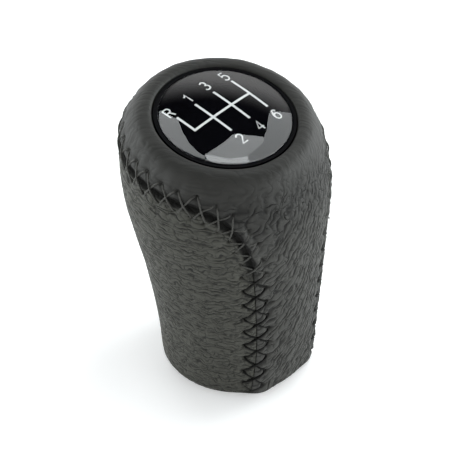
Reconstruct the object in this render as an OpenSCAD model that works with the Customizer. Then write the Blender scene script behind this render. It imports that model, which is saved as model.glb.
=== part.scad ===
// Leather gear shift knob: a moulded body on a rigid spine, covered by two
// laced leather panels, with a clear domed badge in its tilted top.
// The lever axis is the Z axis, the driver sits on the -Y side.

/* [Body] */
// Height of the crest plane above the base, on the badge axis
knob_h = 70; // [60:1:90]
// Radius of the leather just above the base edge
base_r = 17.8; // [16.8:0.1:20]
// Greatest radius of the head
head_r = 25; // [22:0.5:30]
// Depth of the greatest radius below the crest plane
head_drop = 14; // [10:1:20]
// How late the flare below the head levels off
fullness = 1.6; // [0.5:0.1:2.5]
// Power of the rounded shoulder above the head
shoulder_power = 2.1; // [1.8:0.1:3]
// How far the head leans towards the front of the car
lean = 5.3; // [0:0.1:8]
// Height where the lean begins
lean_from = 12; // [5:1:20]
// Depth below the crest plane where the lean ends
lean_drop = 6; // [4:1:15]
// Tilt of the top towards the driver, in degrees
tilt = 5.7; // [0:0.1:10]
// Depth below the crest plane where the tilt begins
tilt_start = 16; // [12:1:30]
// Depth below the crest plane where the tilt is complete
tilt_end = 5; // [4:1:10]
// Radius of the rounded lower edge
edge_roll = 2; // [1.6:0.1:3]
// How far the two driver-side corners stand out at the base
corner_out = 1.1; // [0:0.1:2]
// Angle of those corners from the driver side, in degrees
corner_deg = 28; // [20:1:40]
// Angle over which a corner fades, in degrees
corner_fade_deg = 11; // [6:1:20]
// Height at which the corners have faded away
corner_top = 20; // [15:1:50]

/* [Leather] */
// Thickness of the leather
leather_t = 0.9; // [0.7:0.1:1.2]
// Glue gap between the leather and the body
glue_gap = 0.2; // [0.1:0.05:0.4]
// Gap between the two panels along the seam
seam_gap = 0.3; // [0.1:0.1:0.8]
// How deep the panel edges turn down into the seam
seam_dip = 0.6; // [0:0.1:0.8]
// Width over which an edge turns down
seam_round = 1.6; // [0.8:0.1:2]
// Angle of the seam from the driver side, at mid height, in degrees
side_deg = 33; // [25:1:40]
// Extra angle of the seam at its foot, in degrees
foot_deg = 3; // [0:0.5:8]
// Height below which the seam widens towards its foot
seam_foot_z = 20; // [10:1:30]
// Depth below the crest plane where the seam starts to turn outwards
seam_turn = 29; // [22:1:40]
// Angle at which the seam has turned level, in degrees
level_deg = 66; // [50:1:85]
// Depth of the level part of the seam below the crest plane
seam_drop = 8.8; // [7:0.2:12]
// Width of the hem turned under the base
hem_w = 1.6; // [1:0.1:2]
// How far the tucked leather ends above the floor of the badge's seat
tuck_up = 0.2; // [0.1:0.05:1]

/* [Lacing] */
// Distance between two crossings along the seam
lace_pitch = 4.6; // [3:0.1:7]
// Diameter of the lacing thread
thread_d = 0.6; // [0.4:0.05:0.9]
// Gap between two crossings along the seam
lace_gap = 1; // [0.6:0.1:1.5]
// Distance from the seam to the holes of the lacing
lace_reach = 2.9; // [2:0.1:4]
// Clearance between the thread and the leather
thread_clear = 0.2; // [0.05:0.01:0.3]
// How far a strand sags into the seam
lace_sag = 0.2; // [0:0.05:0.3]
// Height at which the lacing starts above the base
lace_from = 3; // [2.5:0.5:8]

/* [Badge] */
// Radius of the clear dome
dome_r = 16; // [14:0.1:17]
// Rise of the dome from its edge to its crown
dome_rise = 2; // [1:0.1:3]
// Thickness of the dome at its edge
dome_edge_t = 0.5; // [0.3:0.1:1.5]
// Depth of the dome's edge below the crest plane
dome_drop = 0.8; // [0.3:0.1:1.5]
// Thickness of the printed plate
plate_t = 0.8; // [0.5:0.1:1.5]
// Thickness of the adhesive pad under the plate
pad_t = 0.4; // [0.2:0.1:1]
// How much smaller the pad is than the plate
pad_inset = 0.8; // [0.3:0.1:3]
// Wall of the badge holder
holder_wall = 1; // [0.5:0.05:1.5]
// Floor of the badge holder
holder_floor = 1.5; // [1:0.1:3]
// Height of the holder's rim above the dome's edge
holder_up = 0.4; // [0:0.05:0.6]
// Width of the slope inside the holder's rim
holder_slope = 0.35; // [0.1:0.05:0.6]
// Radius of the holder's locating pegs
peg_r = 1.4; // [1:0.1:2]
// Number of locating pegs
peg_count = 3; // [2:1:6]
// How much shorter the pegs are than their holes
peg_free = 0.5; // [0.2:0.1:1]
// Distance of the pegs from the badge axis
peg_circle_r = 13; // [12.5:0.5:14]
// Clearance between parts that push together
push_clear = 0.05; // [0.02:0.01:0.1]
// Clearance between the holder and the leather beside it
tuck_clear = 0.15; // [0.1:0.05:0.4]
// Edge of the foam body round the badge seat
foam_edge = 0.2; // [0.1:0.05:1]

/* [Shift pattern] */
// Distance between two lanes
lane_pitch = 6.2; // [5:0.1:7]
// Length of a lane from the cross bar
lane_reach = 5.8; // [4:0.1:7]
// Width of the lines
line_w = 0.6; // [0.4:0.05:1.2]
// Depth of the lines in the plate
line_d = 0.2; // [0.1:0.05:0.4]
// Place of the pattern to the right of the badge's middle
pattern_x = 0.8; // [-2:0.1:2]
// Place of the pattern in front of the badge's middle
pattern_y = 1.6; // [-2:0.1:2]
// Number of forward lanes
lanes = 3; // [2:1:3]

/* [Lever fastening] */
// Minor radius of the M10 x 1.25 thread
thread_r = 4.32; // [3.3:0.01:5.2]
// Outer radius of the threaded insert
insert_r = 7.5; // [6.5:0.1:9]
// Length of the insert
insert_l = 26; // [15:1:35]
// Height of the insert's lower face
insert_z = 14; // [12:1:20]
// Closed end of the insert above its thread
insert_cap = 3; // [2:0.5:5]
// Depth of the grip grooves round the insert
groove_d = 0.8; // [0.3:0.1:1.5]
// Width of a grip groove
groove_w = 2.4; // [1:0.1:4]
// Number of grip grooves
groove_count = 2; // [1:1:4]
// Radius of the lever's plain shank
shank_r = 6; // [5:0.1:7]
// Clearance of the bush round the shank
shank_clear = 0.1; // [0.05:0.05:0.4]
// Extra clearance of the rigid parts round the shank
shank_free = 0.6; // [0.3:0.1:1]
// Wall of the rubber bush
bush_wall = 2.5; // [1.5:0.1:3]
// Length of the rubber bush
bush_l = 7.5; // [4:0.5:8]

/* [Spine] */
// Outer radius of the spine's tube
tube_r = 11; // [10.5:0.1:12]
// Thickness of the spine's foot
foot_t = 3; // [2:0.5:5]
// Thickness of the dish under the badge
dish_t = 2.6; // [2:0.1:4]
// Number of ribs along the tube
rib_count = 4; // [3:1:8]
// Thickness of a rib
rib_t = 2; // [1:0.1:4]
// How far a rib stands out from the tube
rib_out = 2.4; // [1:0.1:2.9]

/* [Base ring] */
// Thickness of the closing ring
ring_t = 2; // [1.5:0.1:3]
// Clearance between the ring and the leather hem
ring_clear = 0.2; // [0.1:0.05:0.5]
// Clearance of the ring's hole round the shank
ring_free = 0.4; // [0.2:0.1:0.5]
// Height of the ring's spigot
spigot_h = 1; // [0.5:0.1:2]

/* [Hidden] */
$fn = 72;

// Heights of the form, measured up from the base
head_z = knob_h - head_drop;
lean_to = knob_h - lean_drop;
tilt_from = knob_h - tilt_start;
tilt_to = knob_h - tilt_end;
seam_turn_z = knob_h - seam_turn;
seam_z = knob_h - seam_drop;

// Badge seat, measured down from the crest plane along the badge axis
bore_r = dome_r + push_clear;
holder_r = bore_r + holder_wall;
wall_r = holder_r + tuck_clear;
crest_roll = leather_t + glue_gap + foam_edge;
crest_r = wall_r + crest_roll;
seat_r = wall_r + leather_t + glue_gap + push_clear;
dome_floor = dome_drop + dome_edge_t;
plate_floor = dome_floor + plate_t;
pad_floor = plate_floor + pad_t;
seat_d = pad_floor + holder_floor;
tuck_d = seat_d - tuck_up;
dome_ball_r = (dome_r * dome_r + dome_rise * dome_rise) / (2 * dome_rise);

// Lever fastening and base, measured up from the base
shank_hole_r = shank_r + shank_free;
bush_r = shank_r + shank_clear + bush_wall;
bush_z = ring_t + spigot_h;
foot_z = ring_t;
hem_r = base_r - edge_roll - hem_w;
ring_r = hem_r - ring_clear;
thread_l = insert_l - insert_cap;

// Stretches of the body's section, from the hem to the tuck beside the badge
roll_l = edge_roll * 90 * PI / 180;
v_hem = -roll_l - hem_w;
v_head = head_z - edge_roll;
shoulder_l = 18;
v_crest = v_head + shoulder_l;
crest_l = crest_roll * 90 * PI / 180;
v_tuck = v_crest + crest_l + tuck_d - crest_roll;
v_seam = v_at(seam_z);

// Rows and columns of the faceted skins
roll_rows = 3;
wall_rows = 5;
turn_step_deg = 15;
ring_steps = 5;
crest_steps = 4;
body_rows = 9;
body_cols = 56;
shoulder_rows = 7;
tongue_cols = 14;
front_cols = 30;
edge_share_max = 0.05;
strand_sides = 6;

// Spacing of the points along the seam, and the length over which its direction is read
seam_step = 2;
seam_step_deg = 4;
turn_fine_deg = 8;
seam_run = 1;

// Small step for slopes, and how far cutting shapes reach past a face
step = 0.01;
over = 1;

function ramp(a, b, x) = let (t = min(1, max(0, (x - a) / (b - a)))) t * t * (3 - 2 * t);
function lerp(a, b, t) = a + (b - a) * t;
function flare(u) = u + fullness * pow(u, 5) * (1 - u);
function arc_mm(deg) = deg * PI / 180;

// Height and running length of the section match one to one up to the head
function v_at(z) = z <= head_z ? z - edge_roll
    : v_head + shoulder_l / 90 * asin(pow((z - head_z) / (knob_h - head_z), shoulder_power / 2));
function z_at(v) = section(v)[1];

// Section of the body as [radius, height]: hem, rolled edge, flare, shoulder, crest roll, tuck
function section(v) =
    v < -roll_l ? [base_r - edge_roll + (v + roll_l), 0]
    : v < 0 ? let (a = 90 * (1 + v / roll_l))
        [base_r - edge_roll * (1 - sin(a)), edge_roll * (1 - cos(a))]
    : v < v_head ? [base_r + (head_r - base_r) * flare(v / v_head), edge_roll + v]
    : v < v_crest ? let (a = 90 * (v - v_head) / shoulder_l)
        [crest_r + (head_r - crest_r) * pow(max(0, cos(a)), 2 / shoulder_power),
         head_z + (knob_h - head_z) * pow(max(0, sin(a)), 2 / shoulder_power)]
    : v < v_crest + crest_l ? let (a = 90 * (v - v_crest) / crest_l)
        [crest_r - crest_roll * sin(a), knob_h - crest_roll * (1 - cos(a))]
    : [wall_r, knob_h - crest_roll - (v - v_crest - crest_l)];

// The same section, a given depth under the leather's surface
function sunk(v, depth) =
    let (run = section(v + step) - section(v - step), n = [run[1], -run[0]] / norm(run))
    section(v) - depth * n;

function corner(deg, z) = let (a = abs(deg > 180 ? deg - 360 : deg))
    corner_out * exp(-pow((a - corner_deg) / corner_fade_deg, 2)) * (1 - ramp(edge_roll, corner_top, z));

// A point of the body: angle from the driver side, place along the section, depth under the surface
function skin(deg, v, depth = 0) =
    let (p = sunk(v, depth), z = p[1], r = p[0] + corner(deg, z),
         phi = tilt * ramp(tilt_from, tilt_to, z), fall = knob_h - z, y = -r * cos(deg))
    [r * sin(deg),
     lean * ramp(lean_from, lean_to, z) + fall * sin(phi) + y * cos(phi),
     knob_h - fall * cos(phi) + y * sin(phi)];

// The seam: half its width in degrees at a height, moved by off towards the front
function side_at(off) = side_deg + off / arc_mm(head_r);
function seam_top_at(off) = seam_z - off;
function seam_deg(z, off = 0) =
    z < seam_turn_z
    ? side_at(off) + foot_deg * pow(max(0, 1 - z / seam_foot_z), 2)
    : let (s = min(1, (z - seam_turn_z) / (seam_top_at(off) - seam_turn_z)))
      level_deg - (level_deg - side_at(off)) * sqrt(max(0, 1 - s * s));

// Rows of the tongue and the wrap: hem, rolled edge, wall, then the turn of the seam
function low_rows(off) = concat(
    [v_hem, -roll_l - step],
    [for (i = [1 : roll_rows]) -roll_l * (1 - i / roll_rows)],
    [for (i = [1 : wall_rows]) i / wall_rows * (seam_turn_z - edge_roll)],
    [for (a = [turn_step_deg : turn_step_deg : 90 - turn_step_deg])
        v_at(seam_turn_z + (seam_top_at(off) - seam_turn_z) * sin(a))],
    [v_at(seam_top_at(off)) - seam_round / 2, v_at(seam_top_at(off))]);

// Fractions across a panel, with one narrow column along each edge
function across(n, edge) =
    concat([0, edge], [for (i = [1 : n - 1]) lerp(edge, 1 - edge, i / n)], [1 - edge, 1]);
function edge_share(span_deg, r) = min(edge_share_max, seam_round / (span_deg * arc_mm(r)));

// Two triangles for one cell of a grid, seen from outside
function cell(a, b, c, d) = [[a, b, c], [a, c, d]];
function flipped(faces) = [for (f = faces) [f[2], f[1], f[0]]];
function shifted(faces, n) = [for (f = faces) [for (i = f) i + n]];
function strip(loop, n, closed) = let (m = len(loop)) [for (i = [0 : m - (closed ? 1 : 2)])
    each cell(loop[i], loop[(i + 1) % m], loop[(i + 1) % m] + n, loop[i] + n)];

// A skin of leather between an outer and an inner copy of the same grid
module shell(outer, inner, faces, loops) {
    n = len(outer);
    polyhedron(concat(outer, inner),
               concat(flipped(faces), shifted(faces, n), [for (l = loops) each strip(l, n, true)]));
}

wrap_rows = low_rows(seam_gap / 2);
wrap_edge = edge_share(360 - 2 * side_deg, base_r);
wrap_across = across(front_cols, wrap_edge);
function wrap_deg(v, f) = let (s = seam_deg(z_at(v), seam_gap / 2)) lerp(s, 360 - s, f);
function wrap_points(depth, dip) = let (nr = len(wrap_rows), nc = len(wrap_across))
    [for (i = [0 : nr - 1]) for (j = [0 : nc - 1])
        let (on_seam = (i == nr - 1) || j == 0 || j == nc - 1)
        skin(wrap_deg(wrap_rows[i], wrap_across[j]), wrap_rows[i], on_seam ? max(depth, dip) : depth)];

module leather_wrap() {
    nr = len(wrap_rows);
    nc = len(wrap_across);
    faces = [for (i = [0 : nr - 2]) for (j = [0 : nc - 2])
        each cell(i * nc + j, i * nc + j + 1, (i + 1) * nc + j + 1, (i + 1) * nc + j)];
    loop = concat([for (j = [0 : nc - 2]) j],
                  [for (i = [0 : nr - 2]) i * nc + nc - 1],
                  [for (j = [nc - 1 : -1 : 1]) (nr - 1) * nc + j],
                  [for (i = [nr - 1 : -1 : 1]) i * nc]);
    color([0.28, 0.28, 0.27])
        shell(wrap_points(0, seam_dip), wrap_points(leather_t, 0), faces, [loop]);
}

// The hood: a tongue down the driver side below a ring that rolls in to the badge
hood_rows = low_rows(-seam_gap / 2);
hood_across = across(tongue_cols, edge_share(2 * side_deg, base_r));
hood_seam_v = v_at(seam_top_at(-seam_gap / 2));
ring_rows = concat([hood_seam_v + seam_round],
                   [for (i = [1 : ring_steps]) lerp(hood_seam_v + seam_round, v_crest, i / ring_steps)],
                   [for (i = [1 : crest_steps]) v_crest + crest_l * i / crest_steps],
                   [v_tuck]);
front_deg = [for (k = [1 : front_cols - 1]) lerp(level_deg, 360 - level_deg, k / front_cols)];
tongue_n = len(hood_rows) * len(hood_across);
ring_cols = len(hood_across) + len(front_deg);

function tongue_deg(v, f) = let (s = seam_deg(z_at(v), -seam_gap / 2)) lerp(-s, s, f);
function hood_points(depth, dip) = let (nr = len(hood_rows), nc = len(hood_across))
    concat(
        [for (i = [0 : nr - 1]) for (j = [0 : nc - 1])
            let (on_seam = j == 0 || j == nc - 1)
            skin(tongue_deg(hood_rows[i], hood_across[j]), hood_rows[i], on_seam ? max(depth, dip) : depth)],
        [for (deg = front_deg) skin(deg, hood_seam_v, max(depth, dip))],
        [for (v = ring_rows) each concat(
            [for (f = hood_across) skin(tongue_deg(hood_seam_v, f), v, depth)],
            [for (deg = front_deg) skin(deg, v, depth)])]);

// Number of the point at column c of ring row k, where row 0 lies on the seam
function ring_at(k, c) = let (nc = len(hood_across), w = c % ring_cols)
    k > 0 ? tongue_n + len(front_deg) + (k - 1) * ring_cols + w
    : w < nc ? (len(hood_rows) - 1) * nc + w : tongue_n + w - nc;

module leather_hood() {
    nr = len(hood_rows);
    nc = len(hood_across);
    tongue = [for (i = [0 : nr - 2]) for (j = [0 : nc - 2])
        each cell(i * nc + j, i * nc + j + 1, (i + 1) * nc + j + 1, (i + 1) * nc + j)];
    ring = [for (k = [0 : len(ring_rows) - 1]) for (c = [0 : ring_cols - 1])
        each cell(ring_at(k, c), ring_at(k, c + 1), ring_at(k + 1, c + 1), ring_at(k + 1, c))];
    outline = concat([for (j = [0 : nc - 2]) j],
                     [for (i = [0 : nr - 2]) i * nc + nc - 1],
                     [for (c = [nc - 1 : ring_cols - 1]) ring_at(0, c)],
                     [for (i = [nr - 1 : -1 : 1]) i * nc]);
    rim = [for (c = [ring_cols - 1 : -1 : 0]) ring_at(len(ring_rows), c)];
    color([0.25, 0.25, 0.25])
        shell(hood_points(0, seam_dip), hood_points(leather_t, 0), concat(tongue, ring), [outline, rim]);
}

// Frame of the badge: origin on the crest plane, Z along the badge axis
module at_crest() {
    translate([0, lean, knob_h]) rotate([tilt, 0, 0]) children();
}

module spine_blank() {
    translate([0, 0, foot_z]) cylinder(r = ring_r, h = foot_t);
    difference() {
        union() {
            translate([0, 0, foot_z]) cylinder(r = tube_r, h = knob_h - foot_z - seat_d);
            for (i = [0 : rib_count - 1]) rotate([0, 0, i * 360 / rib_count])
                translate([0, -rib_t / 2, foot_z])
                    cube([tube_r + rib_out, rib_t, knob_h - foot_z - seat_d]);
            at_crest() translate([0, 0, -seat_d - dish_t]) cylinder(r = seat_r, h = dish_t);
        }
        at_crest() translate([0, 0, -seat_d]) cylinder(r = 2 * seat_r, h = knob_h);
    }
}

// Closed form of the moulded body, before its seats are cut
module body_blank() {
    depth = leather_t + glue_gap;
    rows = concat([v_hem, -roll_l],
                  [for (i = [1 : roll_rows]) -roll_l * (1 - i / roll_rows)],
                  [for (i = [1 : body_rows]) i / body_rows * v_head],
                  [for (i = [1 : shoulder_rows]) lerp(v_head, v_crest, i / shoulder_rows)],
                  [v_crest + crest_l]);
    nr = len(rows);
    n = body_cols;
    ring_points = [for (v = rows) for (j = [0 : n - 1]) skin(360 * (j + 0.5) / n, v, depth)];
    low = skin(0, rows[0], depth);
    high = skin(0, rows[nr - 1], depth);
    high_back = skin(180, rows[nr - 1], depth);
    walls = [for (i = [0 : nr - 2]) for (j = [0 : n - 1])
        each cell(i * n + j, i * n + (j + 1) % n, (i + 1) * n + (j + 1) % n, (i + 1) * n + j)];
    floor_cap = [for (j = [0 : n - 1]) [nr * n, (j + 1) % n, j]];
    top_cap = [for (j = [0 : n - 1]) [nr * n + 1, (nr - 1) * n + j, (nr - 1) * n + (j + 1) % n]];
    polyhedron(concat(ring_points, [[0, 0, low[2]], (high + high_back) / 2]),
               flipped(concat(walls, floor_cap, top_cap)));
}

module foam_body() {
    color([0.85, 0.82, 0.7])
        difference() {
            body_blank();
            spine_blank();
            translate([0, 0, -over]) cylinder(r = hem_r, h = ring_t + over);
            at_crest() translate([0, 0, -seat_d]) cylinder(r = seat_r, h = knob_h);
        }
}

module peg_holes(r, h) {
    for (i = [0 : peg_count - 1]) rotate([0, 0, 90 + i * 360 / peg_count])
        translate([peg_circle_r, 0, -h]) cylinder(r = r, h = h);
}

module spine() {
    color([0.35, 0.36, 0.38])
        difference() {
            spine_blank();
            insert_blank();
            translate([0, 0, foot_z - over]) cylinder(r = bush_r + push_clear, h = spigot_h + bush_l + over);
            translate([0, 0, foot_z]) cylinder(r = shank_hole_r, h = insert_z - foot_z);
            at_crest() translate([0, 0, -seat_d]) peg_holes(peg_r + push_clear, dish_t);
        }
}

// Outside of the insert: collars with grip grooves between them
module insert_blank() {
    collar_l = (insert_l - groove_count * groove_w) / (groove_count + 1);
    translate([0, 0, insert_z])
        rotate_extrude() {
            square([insert_r - groove_d, insert_l]);
            for (i = [0 : groove_count]) translate([0, i * (collar_l + groove_w)])
                square([insert_r, collar_l]);
        }
}

module threaded_insert() {
    color([0.72, 0.6, 0.35])
        difference() {
            insert_blank();
            translate([0, 0, insert_z - over]) cylinder(r = thread_r, h = thread_l + over);
        }
}

module shank_bush() {
    color([0.12, 0.12, 0.12])
        translate([0, 0, bush_z])
            difference() {
                cylinder(r = bush_r, h = bush_l);
                translate([0, 0, -over]) cylinder(r = shank_r + shank_clear, h = bush_l + 2 * over);
            }
}

module base_ring() {
    color([0.1, 0.1, 0.11])
        difference() {
            union() {
                cylinder(r = ring_r, h = ring_t);
                cylinder(r = bush_r, h = bush_z);
            }
            translate([0, 0, -over]) cylinder(r = shank_r + ring_free, h = bush_z + 2 * over);
        }
}

module badge_holder() {
    color([0.05, 0.05, 0.06])
        at_crest() {
            difference() {
                translate([0, 0, -seat_d]) cylinder(r = holder_r, h = seat_d - dome_drop + holder_up);
                translate([0, 0, -pad_floor]) cylinder(r = bore_r, h = seat_d);
                translate([0, 0, -dome_drop])
                    cylinder(r1 = bore_r, r2 = bore_r + holder_slope, h = holder_up);
            }
            translate([0, 0, -seat_d]) peg_holes(peg_r, dish_t - peg_free);
        }
}

module badge_pad() {
    color([0.9, 0.9, 0.88])
        at_crest() translate([0, 0, -pad_floor]) cylinder(r = dome_r - pad_inset, h = pad_t);
}

// Six forward places and reverse, drawn from the cross bar
module pattern_2d(grow) {
    w = line_w + 2 * grow;
    left = pattern_x - lanes * lane_pitch / 2;
    translate([0, pattern_y]) pattern_lanes(w, left, grow);
}

module pattern_lanes(w, left, grow) {
    translate([left - w / 2, -w / 2]) square([lanes * lane_pitch + w, w]);
    translate([left - w / 2, -w / 2]) square([w, lane_reach + w / 2 + grow]);
    for (i = [1 : lanes]) translate([left + i * lane_pitch - w / 2, -lane_reach - grow])
        square([w, 2 * lane_reach + 2 * grow]);
}

module badge_plate() {
    color([0.02, 0.02, 0.025])
        at_crest() difference() {
            translate([0, 0, -plate_floor]) cylinder(r = dome_r, h = plate_t);
            translate([0, 0, -dome_floor - line_d]) linear_extrude(plate_t) pattern_2d(push_clear / 2);
        }
}

module pattern_lines() {
    color([0.95, 0.95, 0.93])
        at_crest() translate([0, 0, -dome_floor - line_d]) linear_extrude(line_d) pattern_2d(0);
}

module clear_dome() {
    color([0.6, 0.65, 0.7])
        at_crest() intersection() {
            translate([0, 0, -dome_floor]) cylinder(r = dome_r, h = dome_edge_t + 2 * dome_rise);
            translate([0, 0, dome_rise - dome_drop - dome_ball_r]) sphere(r = dome_ball_r, $fn = 360);
        }
}

// The lacing runs up one side of the tongue, round the front and down the other side
seam_path = concat(
    [for (z = [lace_from : seam_step : seam_turn_z]) [seam_deg(z), v_at(z)]],
    [for (a = [turn_fine_deg : turn_fine_deg : 90 - turn_fine_deg])
        let (z = seam_turn_z + (seam_z - seam_turn_z) * sin(a)) [seam_deg(z), v_at(z)]],
    [for (deg = [level_deg : seam_step_deg : 180]) [deg, v_seam]],
    [[180, v_seam]]);
seam_points = [for (p = seam_path) skin(p[0], p[1])];
seam_lengths = [for (i = 0, l = 0; i < len(seam_points); l = l + (i + 1 < len(seam_points)
    ? norm(seam_points[i + 1] - seam_points[i]) : 0), i = i + 1) l];
half_seam = seam_lengths[len(seam_lengths) - 1];
crossings = floor(half_seam / lace_pitch);

// Seam place [degrees, section length] at a distance from the foot, by straight steps along the path
function along(s) = let (c = min(max(0, s), half_seam),
    i = max([for (k = [0 : len(seam_lengths) - 2]) if (seam_lengths[k] <= c) k]),
    t = (c - seam_lengths[i]) / max(step, seam_lengths[i + 1] - seam_lengths[i]))
    lerp(seam_path[i], seam_path[i + 1], t);

// Hole beside the seam: way is +1 on the hood's side and -1 on the wrap's side
function hole(s, way) =
    let (a = along(s - seam_run), b = along(s + seam_run), p = along(s), r = section(p[1])[0],
         run = [(b[0] - a[0]) * arc_mm(r), b[1] - a[1]], n = [-run[1], run[0]] / norm(run),
         q = [p[0] + way * lace_reach * n[0] / arc_mm(r), p[1] + way * lace_reach * n[1]])
    skin(q[0], q[1], -thread_d / 2 - thread_clear);

function mirrored(p, side) = [side * p[0], p[1], p[2]];

// A strand as a six-sided thread through three points, kept flat against the leather
module strand(a, crown, b, out) {
    path = [a, crown, b];
    run = (b - a) / norm(b - a);
    across = cross(run, out) / norm(cross(run, out));
    up = cross(across, run);
    points = [for (p = path) for (i = [0 : strand_sides - 1])
        p + thread_d / 2 * (cos(i * 360 / strand_sides) * up + sin(i * 360 / strand_sides) * across)];
    walls = [for (k = [0 : 1]) for (i = [0 : strand_sides - 1])
        let (j = (i + 1) % strand_sides, n = k * strand_sides)
        each cell(n + i, n + i + strand_sides, n + j + strand_sides, n + j)];
    cap = [for (i = [1 : strand_sides - 2]) [0, i, i + 1]];
    far_cap = shifted(flipped(cap), 2 * strand_sides);
    polyhedron(points, concat(walls, cap, far_cap));
}

// One crossing of the lacing: the strand that leans back lies over the one that leans forward
module crossing(low, high, side) {
    mid = along((low + high) / 2);
    rest = -thread_d / 2 - thread_clear + lace_sag;
    out = skin(mid[0], mid[1], -1) - skin(mid[0], mid[1], 0);
    for (way = [1, -1])
        strand(mirrored(hole(low, way), side),
               mirrored(skin(mid[0], mid[1], way > 0 ? rest : rest - thread_d - push_clear), side),
               mirrored(hole(high, -way), side),
               mirrored(out, side));
}

module lacing_thread() {
    color([0.1, 0.1, 0.1])
        for (side = [-1, 1]) for (k = [0 : crossings - 1])
            crossing(k * lace_pitch, (k + 1) * lace_pitch - lace_gap, side);
}

foam_body();
spine();
threaded_insert();
shank_bush();
base_ring();
leather_wrap();
leather_hood();
lacing_thread();
badge_holder();
badge_pad();
badge_plate();
pattern_lines();
clear_dome();
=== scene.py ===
"""Looks of the laced leather gear shift knob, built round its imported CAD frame."""

import logging
import math
from dataclasses import dataclass, field
from enum import Enum

import bpy
import numpy as np
from mathutils import Matrix, Vector
from mathutils.kdtree import KDTree

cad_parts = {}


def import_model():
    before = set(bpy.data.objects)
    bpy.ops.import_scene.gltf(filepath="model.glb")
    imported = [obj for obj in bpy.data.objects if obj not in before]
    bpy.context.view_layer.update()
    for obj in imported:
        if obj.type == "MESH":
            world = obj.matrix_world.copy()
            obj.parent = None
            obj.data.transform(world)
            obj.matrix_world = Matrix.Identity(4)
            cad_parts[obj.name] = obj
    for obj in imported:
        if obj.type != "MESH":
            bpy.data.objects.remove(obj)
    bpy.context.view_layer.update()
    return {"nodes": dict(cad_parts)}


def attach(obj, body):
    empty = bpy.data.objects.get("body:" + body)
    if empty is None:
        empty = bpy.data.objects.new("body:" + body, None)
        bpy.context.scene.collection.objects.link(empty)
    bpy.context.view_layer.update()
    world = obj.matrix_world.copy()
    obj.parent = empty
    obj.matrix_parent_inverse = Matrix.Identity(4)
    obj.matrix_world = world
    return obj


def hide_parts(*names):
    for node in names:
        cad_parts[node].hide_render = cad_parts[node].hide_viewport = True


LOG = logging.getLogger("knob")
MM = 0.001
BODY = "root"
MIX_I, MIX_J, MIX_SALT, MIX_LAST = 374761393, 668265263, 974634777, 1274126177
WORD, SHARE = 0xFFFFFFFF, 0xFFFFFF
SWELL_WAVES = 7
SWELL_SPREAD = (0.7, 1.4)
RIPPLE = 0.4
BEVEL_SEGMENTS = 2
BEVEL_ABOVE_DEG = 40.0


# Form of the knob


def ramp(a: float, b: float, x: np.ndarray) -> np.ndarray:
    """Smooth step from 0 at a to 1 at b."""
    t = np.clip((np.asarray(x, float) - a) / (b - a), 0, 1)
    return t * t * (3 - 2 * t)


def bell(x: np.ndarray, width: float) -> np.ndarray:
    """Bell curve that is 1 at 0 and has that width."""
    return np.exp(-np.square(x / width))


def scatter(i: np.ndarray, j: np.ndarray, salt: int) -> np.ndarray:
    """Repeatable scattered numbers.

    Args:
        i: cell numbers across.
        j: cell numbers along.
        salt: a number that makes one scatter differ from another.

    Returns:
        A number from 0 to 1 for each cell.
    """
    n = (i.astype(np.int64) * MIX_I + j.astype(np.int64) * MIX_J + salt * MIX_SALT) & WORD
    n = ((n ^ (n >> 13)) * MIX_LAST) & WORD
    return ((n ^ (n >> 16)) & SHARE) / float(SHARE)


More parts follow.
